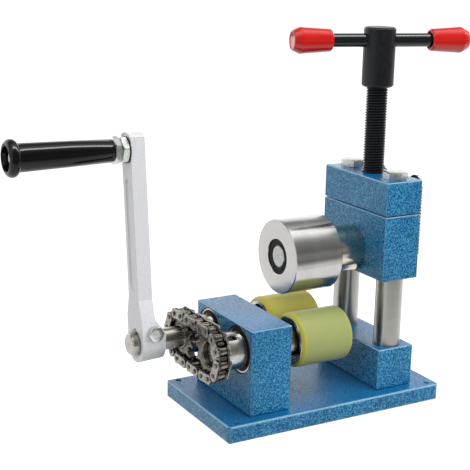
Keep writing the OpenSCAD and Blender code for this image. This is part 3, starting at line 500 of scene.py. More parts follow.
CORE_STEEL = plain_steel("roller core steel", "D2D0CE", 0.2, 200, "BEBCBA")
CHAIN_STEEL = plain_steel("oiled chain rollers", "958E83", 0.2, 500, "5C564E")
PLATE_STEEL = plain_steel("chain plate steel", "A5A19B", 0.24, 420, "726E69")
# The inner plates take a darker copy of the plate steel: painted shade between the outer plates.
SHADED_LINK_STEEL = plain_steel("inner link steel", "7B7670", 0.24, 420, "4E4A46")
PIN_STEEL = plain_steel("chain pin steel", "8C867D", 0.28, 420, "5E5952")
SPRING_STEEL = plain_steel("spring wire", "4C4B4A", 0.3, 300, "2F2E2D")
BRONZE = plain_steel("bearing bronze", "B08D57", 0.3, 200, "97743F")
BLACK = gloss("glossy black plastic", "040405", 0.06, 0.1, 0.22)
BAR_BLACK = gloss("polished black steel", "0A0C10", 0.1, 0.2, 0.35)
RED = gloss("glossy red plastic", "C00B05", 0.06, 0.35, 0.4)
BROWN_SEAL = rubber("brown seal", "2E1E17")
BLACK_SEAL = rubber("black seal", "0D0D0D")
DARK_GREY_RING_FINISH = rubber("dark grey rubber", "2A2A2C")
SLEEVE_HALF = across("front_roller_sleeve", 0) / 2
FRONT_SLEEVE = polyurethane("yellow green polyurethane", "9FA667", "B4B13E", FRONT_AXIS.x, SLEEVE_HALF)
# The rear sleeve's colour is partly its own yellower tone and partly painted light, lightened against the
# shade it gets under the upper roller.
REAR_SLEEVE_PAINTED_LIGHTER = polyurethane("olive polyurethane", "CBC462", "C9BC3C", REAR_AXIS.x, SLEEVE_HALF)


# Blocks and plate

BLOCKS = {"base_plate": "frame", "bearing_block": "frame", "column_base": "frame",
          "bridge": "frame", "moving_head": "head"}
for node, body in BLOCKS.items():
    block = eased_copy("enamelled_" + node, node, ENAMEL, CHAMFER)
    place_on(block, body, [node])


# Columns, upper roller and its axle

for side in ("front", "rear"):
    node = side + "_column"
    low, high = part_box(node)
    section = soften(rod(high.z - low.z, across(node, 0) / 2, CHAMFER), 0.2 * MM)
    turned_piece("ground_" + node, section, along_z(middle(node), low.z), COLUMN_STEEL[side],
                 "frame", node, "ground_steel")

low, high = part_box("upper_roller")
roller_r = across("upper_roller", 2) / 2
ring_low, ring_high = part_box("roller_outer_rings")
seat_r = across("roller_outer_rings", 2) / 2
seat_end = ring_low.x - low.x + THIN_BEARING_W
roller_l = high.x - low.x
web_r = seat_r - 2.5 * MM
edge, lead_in = 0.7 * MM, 0.35 * MM
section = [(seat_r + lead_in, 0), (roller_r - edge, 0), (roller_r, edge), (roller_r, roller_l - edge),
           (roller_r - edge, roller_l), (seat_r, roller_l), (seat_r, roller_l - seat_end),
           (web_r, roller_l - seat_end), (web_r, seat_end), (seat_r, seat_end), (seat_r, lead_in)]
turned_piece("upper_roller_turned", soften(section, 0.25 * MM, loop=True), along_x(AXLE, low.x),
             ROLLER_STEEL, "press_roller", "upper_roller", "ground_steel", count=128, loop=True)


def shaft_face(radius, chamfer, mark_r, mark_depth):
    """Start of a shaft's outline: its centre mark, end face and chamfer."""
    return [(0, mark_depth), (mark_r, 0), (radius - chamfer, 0), (radius, chamfer)]


low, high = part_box("roller_axle")
axle_r = across("roller_axle", 2) / 2
axle_l = high.x - low.x
plain_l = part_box("moving_head")[1].x - low.x
thread_r = 0.7 * axle_r
section = shaft_face(axle_r, 1.0 * MM, 1.1 * MM, 0.6 * MM)
section += [(axle_r, plain_l), (thread_r, plain_l), (thread_r, axle_l), (0, axle_l)]
turned_piece("roller_axle_turned", soften(section, 0.2 * MM), along_x(AXLE, low.x), AXLE_STEEL,
             "head", "roller_axle", "ground_steel")

low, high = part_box("spacer_collar")
collar_r = across("spacer_collar", 2) / 2
boss_r = 10.0 * MM
gap_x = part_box("upper_roller")[1].x + 0.4 * MM - low.x
section = [(axle_r, 0), (boss_r, 0), (boss_r, gap_x), (collar_r - CHAMFER, gap_x),
           (collar_r, gap_x + CHAMFER), (collar_r, high.x - low.x), (axle_r, high.x - low.x)]
turned_piece("spacer_collar_turned", soften(section, 0.15 * MM, loop=True), along_x(AXLE, low.x),
             SPACER_STEEL, "head", "spacer_collar", "ground_steel", loop=True)


# Lower rollers, their shafts and bearings

CORE_DEPTH = 8.0 * MM
SLEEVE_FINISH = {"front": FRONT_SLEEVE, "rear": REAR_SLEEVE_PAINTED_LIGHTER}
for side, body, axis in SHAFTS:
    low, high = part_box(side + "_roller_sleeve")
    outer = across(side + "_roller_sleeve", 2) / 2
    inner = across(side + "_roller_core", 2) / 2
    length = high.x - low.x
    chamfer = 2.0 * MM
    section = [(inner, 0), (outer - chamfer, 0), (outer, chamfer), (outer, length - chamfer),
               (outer - chamfer, length), (inner, length)]
    turned_piece(side + "_sleeve_moulded", soften(section, 0.8 * MM, loop=True), along_x(axis, low.x),
                 SLEEVE_FINISH[side], body, side + "_roller_sleeve", "polyurethane", loop=True)
    rim_r = inner - 3.0 * MM
    inner_edge, outer_edge = 0.3 * MM, 0.4 * MM
    section = [(rim_r, inner_edge), (rim_r + inner_edge, 0), (inner - outer_edge, 0), (inner, outer_edge),
               (inner, length - outer_edge), (inner - outer_edge, length), (rim_r, length),
               (rim_r, length - CORE_DEPTH), (SHAFT_R, length - CORE_DEPTH), (SHAFT_R, CORE_DEPTH),
               (rim_r, CORE_DEPTH)]
    turned_piece(side + "_core_turned", section, along_x(axis, low.x), CORE_STEEL, body,
                 side + "_roller_core", "ground_steel", loop=True)

SHAFT_NODE = {"front": "front_shaft", "rear": "drive_shaft"}
BEARING_SETBACK = 1.0 * MM
block_low, block_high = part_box("bearing_block")
teeth_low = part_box("rear_sprocket")[0].x
mark_r, mark_depth = 1.4 * MM, 0.9 * MM
for side, body, axis in reversed(SHAFTS):
    name = SHAFT_NODE[side]
    low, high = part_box(name)
    if side == "rear":
        section = shaft_face(STUB_R, 1.2 * MM, mark_r, mark_depth)
        section += [(STUB_R, teeth_low - low.x), (SHAFT_R, teeth_low - low.x)]
    else:
        section = shaft_face(SHAFT_R, 1.0 * MM, mark_r, mark_depth)
    step_start = block_high.x - BEARING_SETBACK - low.x
    step_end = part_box("front_roller_core")[0].x + CORE_DEPTH - low.x
    section += [(SHAFT_R, step_start), (STEP_R, step_start), (STEP_R, step_end), (SHAFT_R, step_end),
                (SHAFT_R, high.x - low.x), (0, high.x - low.x)]
    turned_piece(name + "_turned", soften(section, 0.15 * MM), along_x(axis, low.x), SHAFT_STEEL[side],
                 body, name, "ground_steel")


def eased_ring(width, radius, bore, inset=0.0):
    """Closed section of a ring with rounded outer corners."""
    return soften(tube(width, radius, bore, CHAMFER, inset), 0.3 * MM, loop=True)


def grooved_ring(width, radius, bore):
    """Closed section of an outer ring whose faces step back to hold the seals."""
    ease, depth = 0.15 * MM, SEAL_INSET + SEAL_THICK
    half = [(bore, depth), (SEAL_R, depth), (SEAL_R, ease), (SEAL_R + ease, 0), (radius - CHAMFER, 0),
            (radius, CHAMFER)]
    return half + [(r, width - x) for r, x in reversed(half)]


def ring_set(name, spots, axes, finish, body, node):
    """Rings at their spots (section, start) on each axis, as one piece that stands for the node."""
    parts = [revolve(node, section, along_x(axis, start), finish, 72, loop=True)
             for axis in axes for section, start in spots]
    place_on(join(name, parts), body, [node])


def bearing_rings(node, body, section, starts, axes):
    spots = [(section, start) for start in starts]
    ring_set(node + "_ground", spots, axes, RING_STEEL, body, node)


starts = (block_low.x + BEARING_SETBACK, block_high.x - BEARING_SETBACK - BEARING_W)
both = (FRONT_AXIS, REAR_AXIS)
bearing_rings("bearing_outer_rings", "frame", grooved_ring(BEARING_W, BEARING_R, BEARING_R - BEARING_WALL),
              starts, both)
for side, body, axis in SHAFTS:
    bearing_rings(side + "_inner_rings", body, eased_ring(BEARING_W, SHAFT_R + BEARING_WALL, SHAFT_R),
                  starts, (axis,))


def seals(node, body, pairs, axes, outer, inner, finish):
    """Shields with a shallow groove between their two lips, inwards from both ends of each pair."""
    third, groove = (outer - inner) / 3, 0.25 * MM
    section = [(inner, 0), (inner + third, 0), (inner + 1.3 * third, groove), (outer - third, groove),
               (outer - 0.7 * third, 0), (outer, 0), (outer, SEAL_THICK), (inner, SEAL_THICK)]
    mirrored = [(r, SEAL_THICK - x) for r, x in section]
    spots = [(section, low) for low, _ in pairs] + [(mirrored, high - SEAL_THICK) for _, high in pairs]
    ring_set(node + "_moulded", spots, axes, finish, body, node)


pairs = [(start + SEAL_INSET, start + BEARING_W - SEAL_INSET) for start in starts]
seals("bearing_seals", "frame", pairs, both, SEAL_R - 0.05 * MM, 11.4 * MM, BROWN_SEAL)
thin_starts = (ring_low.x, ring_high.x - THIN_BEARING_W)
thin_w = THIN_BEARING_W - 2 * SEAL_INSET
for node, body, bore in (("roller_outer_rings", "press_roller", seat_r - THIN_BEARING_WALL),
                         ("roller_inner_rings", "head", axle_r)):
    section = eased_ring(thin_w, bore + THIN_BEARING_WALL, bore, SEAL_INSET)
    bearing_rings(node, body, section, thin_starts, (AXLE,))
proud = 0.4 * MM
seals("roller_seals", "press_roller", [(ring_low.x - proud, ring_high.x + proud)], (AXLE,),
      seat_r - 0.2 * MM, axle_r + 0.25 * MM, BLACK_SEAL)


# Sprockets: a disc whose rim follows the teeth, and a hub drilled for its set screw

def tooth_rim(first, count, shrink=0.0):
    """Radius of the toothed rim at each step round the axis."""
    seat = CHAIN_ROLLER_R + 0.12 * MM + shrink
    tip = CHAIN_PITCH * (0.6 + 1 / math.tan(math.pi / TEETH)) / 2 - shrink
    mouth = 4.9 * MM + shrink
    scan, scan_steps = 0.02 * MM, 400
    radii = []
    for k in range(count):
        angle = 2 * math.pi * k / count
        step = 2 * math.pi / TEETH
        off = (angle - first + step / 2) % step - step / 2
        best = tip
        for i in range(scan_steps):
            r = tip - i * scan
            u, v = r * math.cos(off) - PITCH_R, abs(r * math.sin(off))
            flank = seat + (mouth - seat) * max(0.0, u) / (tip - PITCH_R + 1 * MM)
            inside = u * u + v * v < seat * seat or (u > 0 and v < flank)
            if not inside:
                break
            best = r
        radii.append(best)
    return np.array(radii)


def sprocket(side, body, axis, first):
    node = side + "_sprocket"
    low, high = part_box(node)
    count = 16 * TEETH
    width = 5.3 * MM
    hub_r, hub_l, hub_edge = 13.5 * MM, high.x - low.x, 0.8 * MM
    play = 0.3 * MM
    neck_r = PITCH_R - LINK_END - play
    neck_end = width / 2 + across("chain_pins", 0) / 2 + play
    bore, bore_edge, tooth_edge = SHAFT_R, 1.0 * MM, 0.7 * MM
    full, eased = tooth_rim(first, count), tooth_rim(first, count, 0.45 * MM)
    section = [(bore + bore_edge, 0), (11.0 * MM, 0), (eased, 0), (full, tooth_edge),
               (full, width - tooth_edge), (eased, width), (neck_r, width), (neck_r, neck_end),
               (hub_r, neck_end), (hub_r, hub_l - hub_edge), (hub_r - hub_edge, hub_l), (bore, hub_l),
               (bore, bore_edge)]
    wheel = revolve(node + "_cut", section, along_x(axis, low.x), SPROCKET_STEEL[side], count, loop=True)
    screw_low, screw_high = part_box(side + "_set_screw")
    lean, drill_x = math.radians(28), (screw_low.x + screw_high.x) / 2
    drill_r, drill_l, drill_from = 2.5 * MM, 12 * MM, 5 * MM
    tilt = Matrix.Translation((drill_x, axis.y, axis.z)) @ Matrix.Rotation(lean, 4, "X")
    drill = revolve("drill", rod(drill_l, drill_r, 0.01 * MM, drill_from), tilt, SPROCKET_STEEL[side], 32)
    cut = wheel.modifiers.new("set screw hole", "BOOLEAN")
    cut.operation = "DIFFERENCE"
    cut.solver = "EXACT"
    cut.object = drill
    settle(wheel)
    bpy.data.objects.remove(drill)
    place_on(wheel, body, [node])


WRAP = TEETH / 2
STRAIGHT = round((REAR_AXIS.y - FRONT_AXIS.y) / CHAIN_PITCH * 2) / 2
LINKS = round(2 * STRAIGHT + TEETH)
STEP = 2 * math.pi / TEETH
sprocket("rear", "crank", REAR_AXIS, math.pi / 2 + (2 * STRAIGHT + WRAP) * STEP)
sprocket("front", "front_roller", FRONT_AXIS, -math.pi / 2 + STRAIGHT * STEP)


# Chain: pins counted from the rear sprocket's lowest point towards the front

def pin_place(i):
    s = i % LINKS
    if s < STRAIGHT:
        return REAR_AXIS.y - s * CHAIN_PITCH, REAR_AXIS.z - PITCH_R
    if s < STRAIGHT + WRAP:
        a = -math.pi / 2 - (s - STRAIGHT) * STEP
        return FRONT_AXIS.y + PITCH_R * math.cos(a), FRONT_AXIS.z + PITCH_R * math.sin(a)
    if s < 2 * STRAIGHT + WRAP:
        return FRONT_AXIS.y + (s - STRAIGHT - WRAP) * CHAIN_PITCH, FRONT_AXIS.z + PITCH_R
    a = math.pi / 2 - (s - 2 * STRAIGHT - WRAP) * STEP
    return REAR_AXIS.y + PITCH_R * math.cos(a), REAR_AXIS.z + PITCH_R * math.sin(a)


def repeat_tree():
    """Tree that puts one shape on every point, turned about X by the point's own angle."""
    group = bpy.data.node_groups.new("chain parts on their pins", "GeometryNodeTree")
    for label, kind in (("Places", "Geometry"), ("Shape", "Object"), ("Size", "Float"),
                        ("Finish", "Material")):
        group.interface.new_socket(label, in_out="INPUT", socket_type="NodeSocket" + kind)
    group.interface.new_socket("Parts", in_out="OUTPUT", socket_type="NodeSocketGeometry")
    tree = Tree(group)
    start = tree.add("NodeGroupInput").outputs
    shape = tree.add("GeometryNodeObjectInfo", Object=start["Shape"])
    turn = tree.add("GeometryNodeInputNamedAttribute", {"data_type": "FLOAT"}, Name="turn")
    angles = tree.add("CombineXYZ", X=turn.outputs["Attribute"])
    spread = tree.add("GeometryNodeInstanceOnPoints", Points=start["Places"],
                      Instance=shape.outputs["Geometry"], Rotation=angles.outputs["Vector"],
                      Scale=start["Size"])
    real = tree.add("GeometryNodeRealizeInstances", Geometry=spread.outputs["Instances"])
    paint = tree.add("GeometryNodeSetMaterial", Geometry=real.outputs["Geometry"],
                     Material=start["Finish"])
    tree.add("NodeGroupOutput", Parts=paint.outputs["Geometry"])
    return group


REPEAT = repeat_tree()


def repeated(name, shape, places, finish):
    """Copies of the shape at (y, z, angle) places in the chain's plane, as one mesh."""
    mesh = bpy.data.meshes.new(name)
    mesh.from_pydata([(CHAIN_X, y, z) for y, z, _ in places], [], [])
    mesh.attributes.new("turn", "FLOAT", "POINT").data.foreach_set("value", [a for _, _, a in places])
    piece = put(name, mesh)
    spread = piece.modifiers.new("parts", "NODES")
    spread.node_group = REPEAT
    values = {"Shape": shape, "Size": 1.0, "Finish": finish}
    for socket in REPEAT.interface.items_tree:
        if socket.in_out == "INPUT" and socket.name in values:
            spread[socket.identifier] = values[socket.name]
    settle(piece)
    bpy.data.objects.remove(shape)
    piece.data.set_sharp_from_angle(angle=math.radians(SHARP))
    return piece


def link_outline(end_r, waist, steps=10):
    """Half turn round each pin and a hollow waist between, as (y, z) points."""
    half, sweep, waist_steps = CHAIN_PITCH / 2, math.radians(68), 6
    points = []
    for sign in (1, -1):
        for k in range(steps + 1):
            a = sweep * (2 * k / steps - 1)
            points.append((sign * (half + end_r * math.cos(a)), sign * end_r * math.sin(a)))
        y0 = half + end_r * math.cos(sweep)
        z0 = end_r * math.sin(sweep)
        for k in range(1, waist_steps):
            t = k / waist_steps
            dip = (z0 - waist) * math.sin(math.pi * t) ** 0.8
            points.append((sign * y0 * (1 - 2 * t), sign * (z0 - dip)))
    return points


def link_pair(name, near, thick, end_r, waist):
    """Two stamped plates, mirrored about the chain's middle plane, with eased edges."""
    ease = 0.22 * MM
    outline = link_outline(end_r, waist)
    inset = [(y * (1 - ease / (CHAIN_PITCH / 2 + end_r)), z * (1 - ease / end_r)) for y, z in outline]
    points, faces = [], []
    count = len(outline)
    for sign in (1, -1):
        base = len(points)
        levels = ((inset, near), (outline, near + ease), (outline, near + thick - ease),
                  (inset, near + thick))
        for loop, x in levels:
            points += [(sign * x, y, z) for y, z in loop]
        faces.append(tuple(base + i for i in range(count)))
        faces.append(tuple(base + 3 * count + i for i in range(count)))
        for level in range(3):
            for i in range(count):
                j = (i + 1) % count
                a = base + level * count
                faces.append((a + i, a + j, a + count + j, a + count + i))
    return make_mesh(name, points, faces, PLATE_STEEL)


def link_places(first):
    places = []
    for i in range(first, LINKS, 2):
        (y0, z0), (y1, z1) = pin_place(i), pin_place(i + 1)
        places.append(((y0 + y1) / 2, (z0 + z1) / 2, math.atan2(z1 - z0, y1 - y0)))
    return places


inner_x, plate_t, end_r, waist = 2.86 * MM, 1.3 * MM, LINK_END, 3.4 * MM
outer_x = inner_x + plate_t + 0.1 * MM
pin_places = [pin_place(i) + (0.0,) for i in range(LINKS)]
at_pin = along_x(Vector((0, 0, 0)))
outer = repeated("chain_outer_links", link_pair("outer pair", outer_x, plate_t, end_r, waist),
                 link_places(0), PLATE_STEEL)
# Inner plates carry the painted shade finish.
inner = repeated("chain_inner_links", link_pair("inner pair", inner_x, plate_t, end_r, waist),
                 link_places(1), SHADED_LINK_STEEL)
roller_half = 2.7 * MM
roller_section = soften(tube(2 * roller_half, CHAIN_ROLLER_R, 1.66 * MM, 0.25 * MM, -roller_half),
                        0.1 * MM, loop=True)
rollers = repeated("chain_rollers_turned",
                   revolve("chain roller", roller_section, at_pin, CHAIN_STEEL, 32, loop=True),
                   pin_places, CHAIN_STEEL)
pin_half = across("chain_pins", 0) / 2
riveted = [(0, 0), (1.05 * MM, 0.08 * MM), (1.62 * MM, 0.42 * MM)]
pin_section = [(r, x - pin_half) for r, x in riveted] + [(r, pin_half - x) for r, x in reversed(riveted)]
pins = repeated("chain_pins_riveted", revolve("chain pin", pin_section, at_pin, PIN_STEEL, 24),
                pin_places, PIN_STEEL)
for piece, node in ((outer, "chain_outer_plates"), (inner, "chain_inner_plates"),
                    (rollers, "chain_rollers"), (pins, "chain_pins")):
    place_on(piece, "frame", [node])


# Crank and its handle

arm = eased_copy("crank_arm_cast", "crank_arm", SILVER, 1.1 * MM, sharp=38, steps=3)
place_on(arm, "crank", ["crank_arm"])

low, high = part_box("handle_grip")
grip_l = high.x - low.x
bead = 3.9 * MM
bead_r = across("handle_grip", 2) / 2
socket_r, socket_l, socket_edge = 8.6 * MM, 6.0 * MM, 0.6 * MM
bolt_r = M10_R + 0.05 * MM
bead_s = grip_l - bead
section = [(bolt_r, 0), (7.4 * MM, 0), (8.1 * MM, 0.8 * MM), (8.9 * MM, 0.44 * bead_s),
           (9.65 * MM, bead_s - 2.0 * bead), (9.75 * MM, bead_s - bead), (9.9 * MM, bead_s - 0.86 * bead)]
bead_from, bead_to, bead_steps = -62, 90, 14
for k in range(bead_steps + 1):
    a = math.radians(bead_from + (bead_to - bead_from) * k / bead_steps)
    section.append((bead_r - bead + bead * math.cos(a), bead_s + bead * math.sin(a)))
section += [(socket_r + socket_edge, grip_l), (socket_r, grip_l - socket_edge),
            (socket_r, grip_l - socket_l), (bolt_r, grip_l - socket_l)]
to_left = Matrix(((0, 0, -1, high.x), (-1, 0, 0, HANDLE.y), (0, 1, 0, HANDLE.z), (0, 0, 0, 1)))
grip = turned_piece("handle_grip_turned", section, to_left, BLACK, "handle", "handle_grip",
                    "black_plastic", count=128, loop=True, sharp=40)

low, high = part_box("handle_bolt")
head_r = across("handle_bolt", 2) / 2
head_h, bolt_l, tip_edge = 3.6 * MM, high.x - low.x, 0.8 * MM
dome_steps = 8
section = [(0, 0)]
for k in range(1, dome_steps + 1):
    a = math.radians(90 * k / dome_steps)
    section.append((head_r * math.sin(a), head_h * (1 - math.cos(a))))
section += [(M10_R, head_h), (M10_R, bolt_l - tip_edge), (M10_R - tip_edge, bolt_l), (0, bolt_l)]
turned_piece("handle_bolt_domed", section, along_x(HANDLE, low.x), ZINC, "crank", "handle_bolt", "zinc")

low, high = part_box("handle_lock_nuts")
nut_l = (high.x - low.x - 0.2 * MM) / 2
nuts = []
for start, corner in ((low.x, 0.0), (high.x - nut_l, math.radians(16))):
    section = hexagon(17.0 * MM, 0.0, nut_l, M10_R, math.radians(30) + corner)
    nuts.append(revolve("lock nut", section, along_x(HANDLE, start), ZINC, loop=True))
place_on(join("handle_nuts_plated", nuts), "crank", ["handle_lock_nuts"])

# A thin dark grey ring between the crank arm and the lock nuts.
low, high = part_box("handle_washer")
section = soften(tube(high.x - low.x, 9.2 * MM, M10_R, 0.15 * MM), 0.1 * MM, loop=True)
turned_piece("handle_washer_cut", section, along_x(HANDLE, low.x), DARK_GREY_RING_FINISH, "crank",
             "handle_washer", "black_plastic", loop=True)

low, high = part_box("clamp_bolt")
nut_low, nut_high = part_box("clamp_nut")
clamp = middle("clamp_bolt")
along_y = Matrix(((-1, 0, 0, clamp.x), (0, 0, 1, 0), (0, 1, 0, clamp.z), (0, 0, 0, 1)))
head_y, flats = high.y - 4.0 * MM, 10.0 * MM
section = [(0, low.y), (M6_R - CHAMFER, low.y), (M6_R, low.y + CHAMFER), (M6_R, head_y)]
section += hexagon(flats, head_y, high.y, 0, 0.0, both_ends=False)
turned_piece("clamp_bolt_plated", section, along_y, ZINC, "crank", "clamp_bolt", "zinc")
section = hexagon(flats, nut_low.y, nut_high.y, M6_R, 0.0)
turned_piece("clamp_nut_plated", section, along_y, ZINC, "crank", "clamp_nut", "zinc", loop=True)


# Press screw with its thread, hub, cross bar and grips

low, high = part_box("press_screw")
crest, root, lead = 8.0 * MM, 6.77 * MM, 2.0 * MM
thread_from, thread_to = low.z + 8.0 * MM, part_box("t_hub")[0].z + 1.0 * MM
around, rows_per_turn, run_in = 60, 12, 10
flank, root_flat, crest_from = 0.4, 0.06, 0.9
angle = np.arange(around) * 2 * np.pi / around
nose_r, nose_end = 5.5 * MM, low.z + 6.0 * MM
section = [(0, low.z), (nose_r - CHAMFER, low.z), (nose_r, low.z + CHAMFER), (nose_r, nose_end),
           (root, nose_end)]
rows = int(round((thread_to - thread_from) / (lead / rows_per_turn)))
for row in range(rows + 1):
    z = thread_from + (thread_to - thread_from) * row / rows
    phase = np.mod(z / lead - angle / (2 * np.pi), 1.0)
    rise = (0.5 - np.abs(phase - 0.5)) / flank
    rise = np.clip((rise - root_flat) / crest_from, 0.0, 1.0)
    fade = min(1.0, row / run_in)
    section.append((root + (crest - root) * rise * fade, z))
section += [(root, thread_to + 0.2 * MM), (root, high.z), (0, high.z)]
turned_piece("press_screw_threaded", section, along_z(SCREW), OXIDE, "screw", "press_screw",
             "black_oxide", count=around, sharp=75)

low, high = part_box("t_hub")
section = soften(rod(high.z - low.z, across("t_hub", 0) / 2, 1.3 * MM, low.z), 0.6 * MM)
turned_piece("t_hub_turned", section, along_z(SCREW), OXIDE, "screw", "t_hub", "black_oxide")

left_grip, right_grip = middle("left_bar_grip"), middle("right_bar_grip")
run = (right_grip - left_grip).normalized()
bar_centre = (left_grip + right_grip) / 2
side = Vector((0, 0, 1)).cross(run)
along_bar = Matrix(((run.x, side.x, 0, bar_centre.x), (run.y, side.y, 0, bar_centre.y),
                    (0, 0, 1, bar_centre.z), (0, 0, 0, 1))) @ Matrix.Rotation(math.pi / 2, 4, "Y")
bar_half, bar_r = 64.5 * MM, 5.0 * MM
bar = turned_piece("cross_bar_turned", rod(2 * bar_half, bar_r, CHAMFER, -bar_half), along_bar, BAR_BLACK,
                   "screw", "cross_bar", "black_oxide", count=64)
grip_in, grip_out = 38.5 * MM, 68.5 * MM
inner_end = [(5.0, 2.0), (6.3, 2.0), (6.3, 0.0), (7.2, 0.0), (8.2, 1.0), (8.9, 12.0)]
outer_end = [(9.6, 7.6), (9.75, 6.4), (9.55, 5.4), (7.2, 0.4), (6.2, 0.2), (5.9, 0.7), (0, 0.7)]
section = [(r * MM, grip_in + x * MM) for r, x in inner_end]
section += [(r * MM, grip_out - x * MM) for r, x in outer_end]
section = soften(section, 0.9 * MM, 4)
for node, flip in (("left_bar_grip", math.pi), ("right_bar_grip", 0.0)):
    turn = Matrix.Rotation(flip, 4, "Z")
    along_grip = Matrix.Translation(bar_centre) @ turn @ Matrix.Translation(-bar_centre) @ along_bar
    turned_piece(node + "_moulded", section, along_grip, RED, "screw", node, "red_plastic", sharp=50)


# Bolts of the bridge and the axle's nut

head_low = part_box("bridge")[1].z
low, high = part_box("bridge_bolts")
face_r, face_top = 7.6 * MM, head_low + 0.4 * MM
bolts = []
for side, degrees in (("front", 20.4), ("rear", 4.4)):
    section = [(0, low.z), (M10_R, low.z), (M10_R, head_low), (face_r, head_low), (face_r, face_top)]
    section += hexagon(16.0 * MM, face_top, high.z, 0, math.radians(degrees), both_ends=False)
    bolts.append(revolve("bridge bolt", section, along_z(middle(side + "_column")), ZINC))
place_on(join("bridge_bolts_plated", bolts), "frame", ["bridge_bolts"])

low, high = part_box("axle_nut")
section = hexagon(19.0 * MM, 0, high.x - low.x, 6.0 * MM, math.radians(30))
turned_piece("axle_nut_plated", section, along_x(AXLE, low.x), ZINC, "head", "axle_nut", "zinc", loop=True)


# Return springs: hooks over the studs and real turns between

def spring_line(x, y, top, foot, radius, turns, bend, sweep):
    """Centre line of the wire from the lower hook's end to the upper one's."""
    lap = math.acos(bend / radius)
    turn = 2 * math.pi * turns + 2 * lap
    upper, lower = top - bend, foot + bend
    y_end = radius * math.sin(lap)
    bend_steps, hook_steps, turn_steps = 5, 16, 20
    hook = []
    for k in range(1, bend_steps + 1):
        share = k / bend_steps
        a = math.pi / 2 * share
        hook.append((bend * (1 - math.sin(a)), y_end + (radius - y_end) * share, bend * (1 - math.cos(a))))
    for k in range(1, hook_steps + 1):
        a = math.radians(sweep) * k / hook_steps
        hook.append((0.0, radius * math.cos(a), bend + radius * math.sin(a)))
    rows = int(turns * turn_steps)
    line = [(p[0], -p[1], lower - p[2]) for p in reversed(hook)]
    for k in range(rows + 1):
        a = -lap + turn * k / rows
        line.append((radius * math.cos(a), radius * math.sin(a), lower + (upper - lower) * k / rows))
    line += [(p[0], p[1], upper + p[2]) for p in hook]
    return [Vector((x + a, y + b, c)) for a, b, c in line]


def wire(name, line, radius, finish, sides=10):
    """Round wire along a line of points, closed at both ends."""
    points, faces = [], []
    lean = Vector((1.0, 0.1, 0.2))
    for i, here in enumerate(line):
        ahead = (line[min(i + 1, len(line) - 1)] - line[max(i - 1, 0)]).normalized()
        lean = (lean - ahead * lean.dot(ahead)).normalized()
        other = ahead.cross(lean)
        for k in range(sides):
            a = 2 * math.pi * k / sides
            points.append(here + radius * (math.cos(a) * lean + math.sin(a) * other))
    for i in range(len(line) - 1):
        for k in range(sides):
            j = (k + 1) % sides
            faces.append((i * sides + k, i * sides + j, (i + 1) * sides + j, (i + 1) * sides + k))
    faces.append(tuple(range(sides)))
    faces.append(tuple(len(line) * sides - 1 - k for k in range(sides)))
    return make_mesh(name, points, faces, finish, 60)


low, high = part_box("return_springs")
wire_r = 0.9 * MM
coil_r = (high.x - low.x) / 2 - wire_r
spring_x = (low.x + high.x) / 2
spring_y = across("bridge_spring_studs", 1) / 2 - 4.0 * MM
hook_up = high.z - wire_r - coil_r
hook_down = low.z + wire_r + coil_r
lines = [spring_line(spring_x, sign * spring_y, hook_up, hook_down, coil_r, 20, 2.6 * MM, 190)
         for sign in (-1, 1)]
springs = join("return_springs_wound", [wire("spring wire", line, wire_r, SPRING_STEEL) for line in lines])
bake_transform(springs)
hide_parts("return_springs")


# Finishes of the solids that show as they are

PLAIN = (
    (OXIDE, ("block_screws", "column_base_screws", "column_screws", "rear_end_screw", "front_end_screw",
             "rear_set_screw", "front_set_screw")),
    (ZINC, ("bridge_spring_studs", "head_spring_studs")),
    (BRONZE, ("guide_bushes",)),
    (RING_STEEL, ("bearing_balls", "roller_balls")))
for finish, nodes in PLAIN:
    for node in nodes:
        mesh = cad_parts[node].data
        for index in range(len(mesh.materials)):
            mesh.materials[index] = finish


# Studio: white floor and surroundings, soft lamps, and dark cards that only steel reflects

LENS = 87.70
SENSOR = 36.0
EYE = Vector((-450.57, -683.41, 338.89)) * MM
YAW, PITCH, ROLL = math.radians(29.620), math.radians(-14.534), math.radians(1.172)
STUDIO_X = (-2.6, 3.4)
TUNNEL_R = 1.6
TABLE_EDGES = (-1.6, -0.19)
GLOW = (0.98, 1.0, 0.97, 1)
TUNNEL_BANDS = [(0, 0.31), (9, 0.33), (21, 0.21), (33, 0.26), (48, 0.36), (57, 0.6), (66, 1.1), (74, 1.7),
                (91, 2.2), (100, 1.2), (107, 0.66), (118, 0.42), (130, 0.3), (138, 0.85), (148, 1.4),
                (180, 1.7)]
TABLE_BANDS = [(0.18, 1.0), (0.22, 0.62), (0.28, 0.38), (0.44, 0.2), (0.8, 0.25), (1.0, 0.31)]


def camera():
    data = bpy.data.cameras.new("camera")
    data.sensor_width = SENSOR
    data.lens = LENS
    ahead = Vector((math.sin(YAW) * math.cos(PITCH), math.cos(YAW) * math.cos(PITCH), math.sin(PITCH)))
    right = Vector((math.cos(YAW), -math.sin(YAW), 0))
    up = right.cross(ahead)
    rolled_right = right * math.cos(ROLL) + up * math.sin(ROLL)
    rolled_up = up * math.cos(ROLL) - right * math.sin(ROLL)
    place = Matrix((rolled_right, rolled_up, -ahead)).transposed().to_4x4()
    place.translation = EYE
    eye = put("camera", data)
    eye.matrix_world = place
    bpy.context.scene.camera = eye


def lamp(name, spot, size, power, target=(0.0, 0.0, 0.1), shines_on=()):
    """Soft lamp that reflections don't see, or, given pieces, a strip that only they reflect."""
    data = bpy.data.lights.new(name, "AREA")
    data.shape = "RECTANGLE"
    data.size, data.size_y = size
    data.energy = power
    light = put(name, data)
    light.visible_glossy = bool(shines_on)
    light.visible_diffuse = not shines_on
    if shines_on:
        receivers = bpy.data.collections.new(name + " receivers")
        for piece in shines_on:
            receivers.objects.link(piece)
        light.light_linking.receiver_collection = receivers
    aim = Vector(target) - Vector(spot)
    light.matrix_world = Matrix.Translation(spot) @ aim.to_track_quat("-Z", "Y").to_matrix().to_4x4()


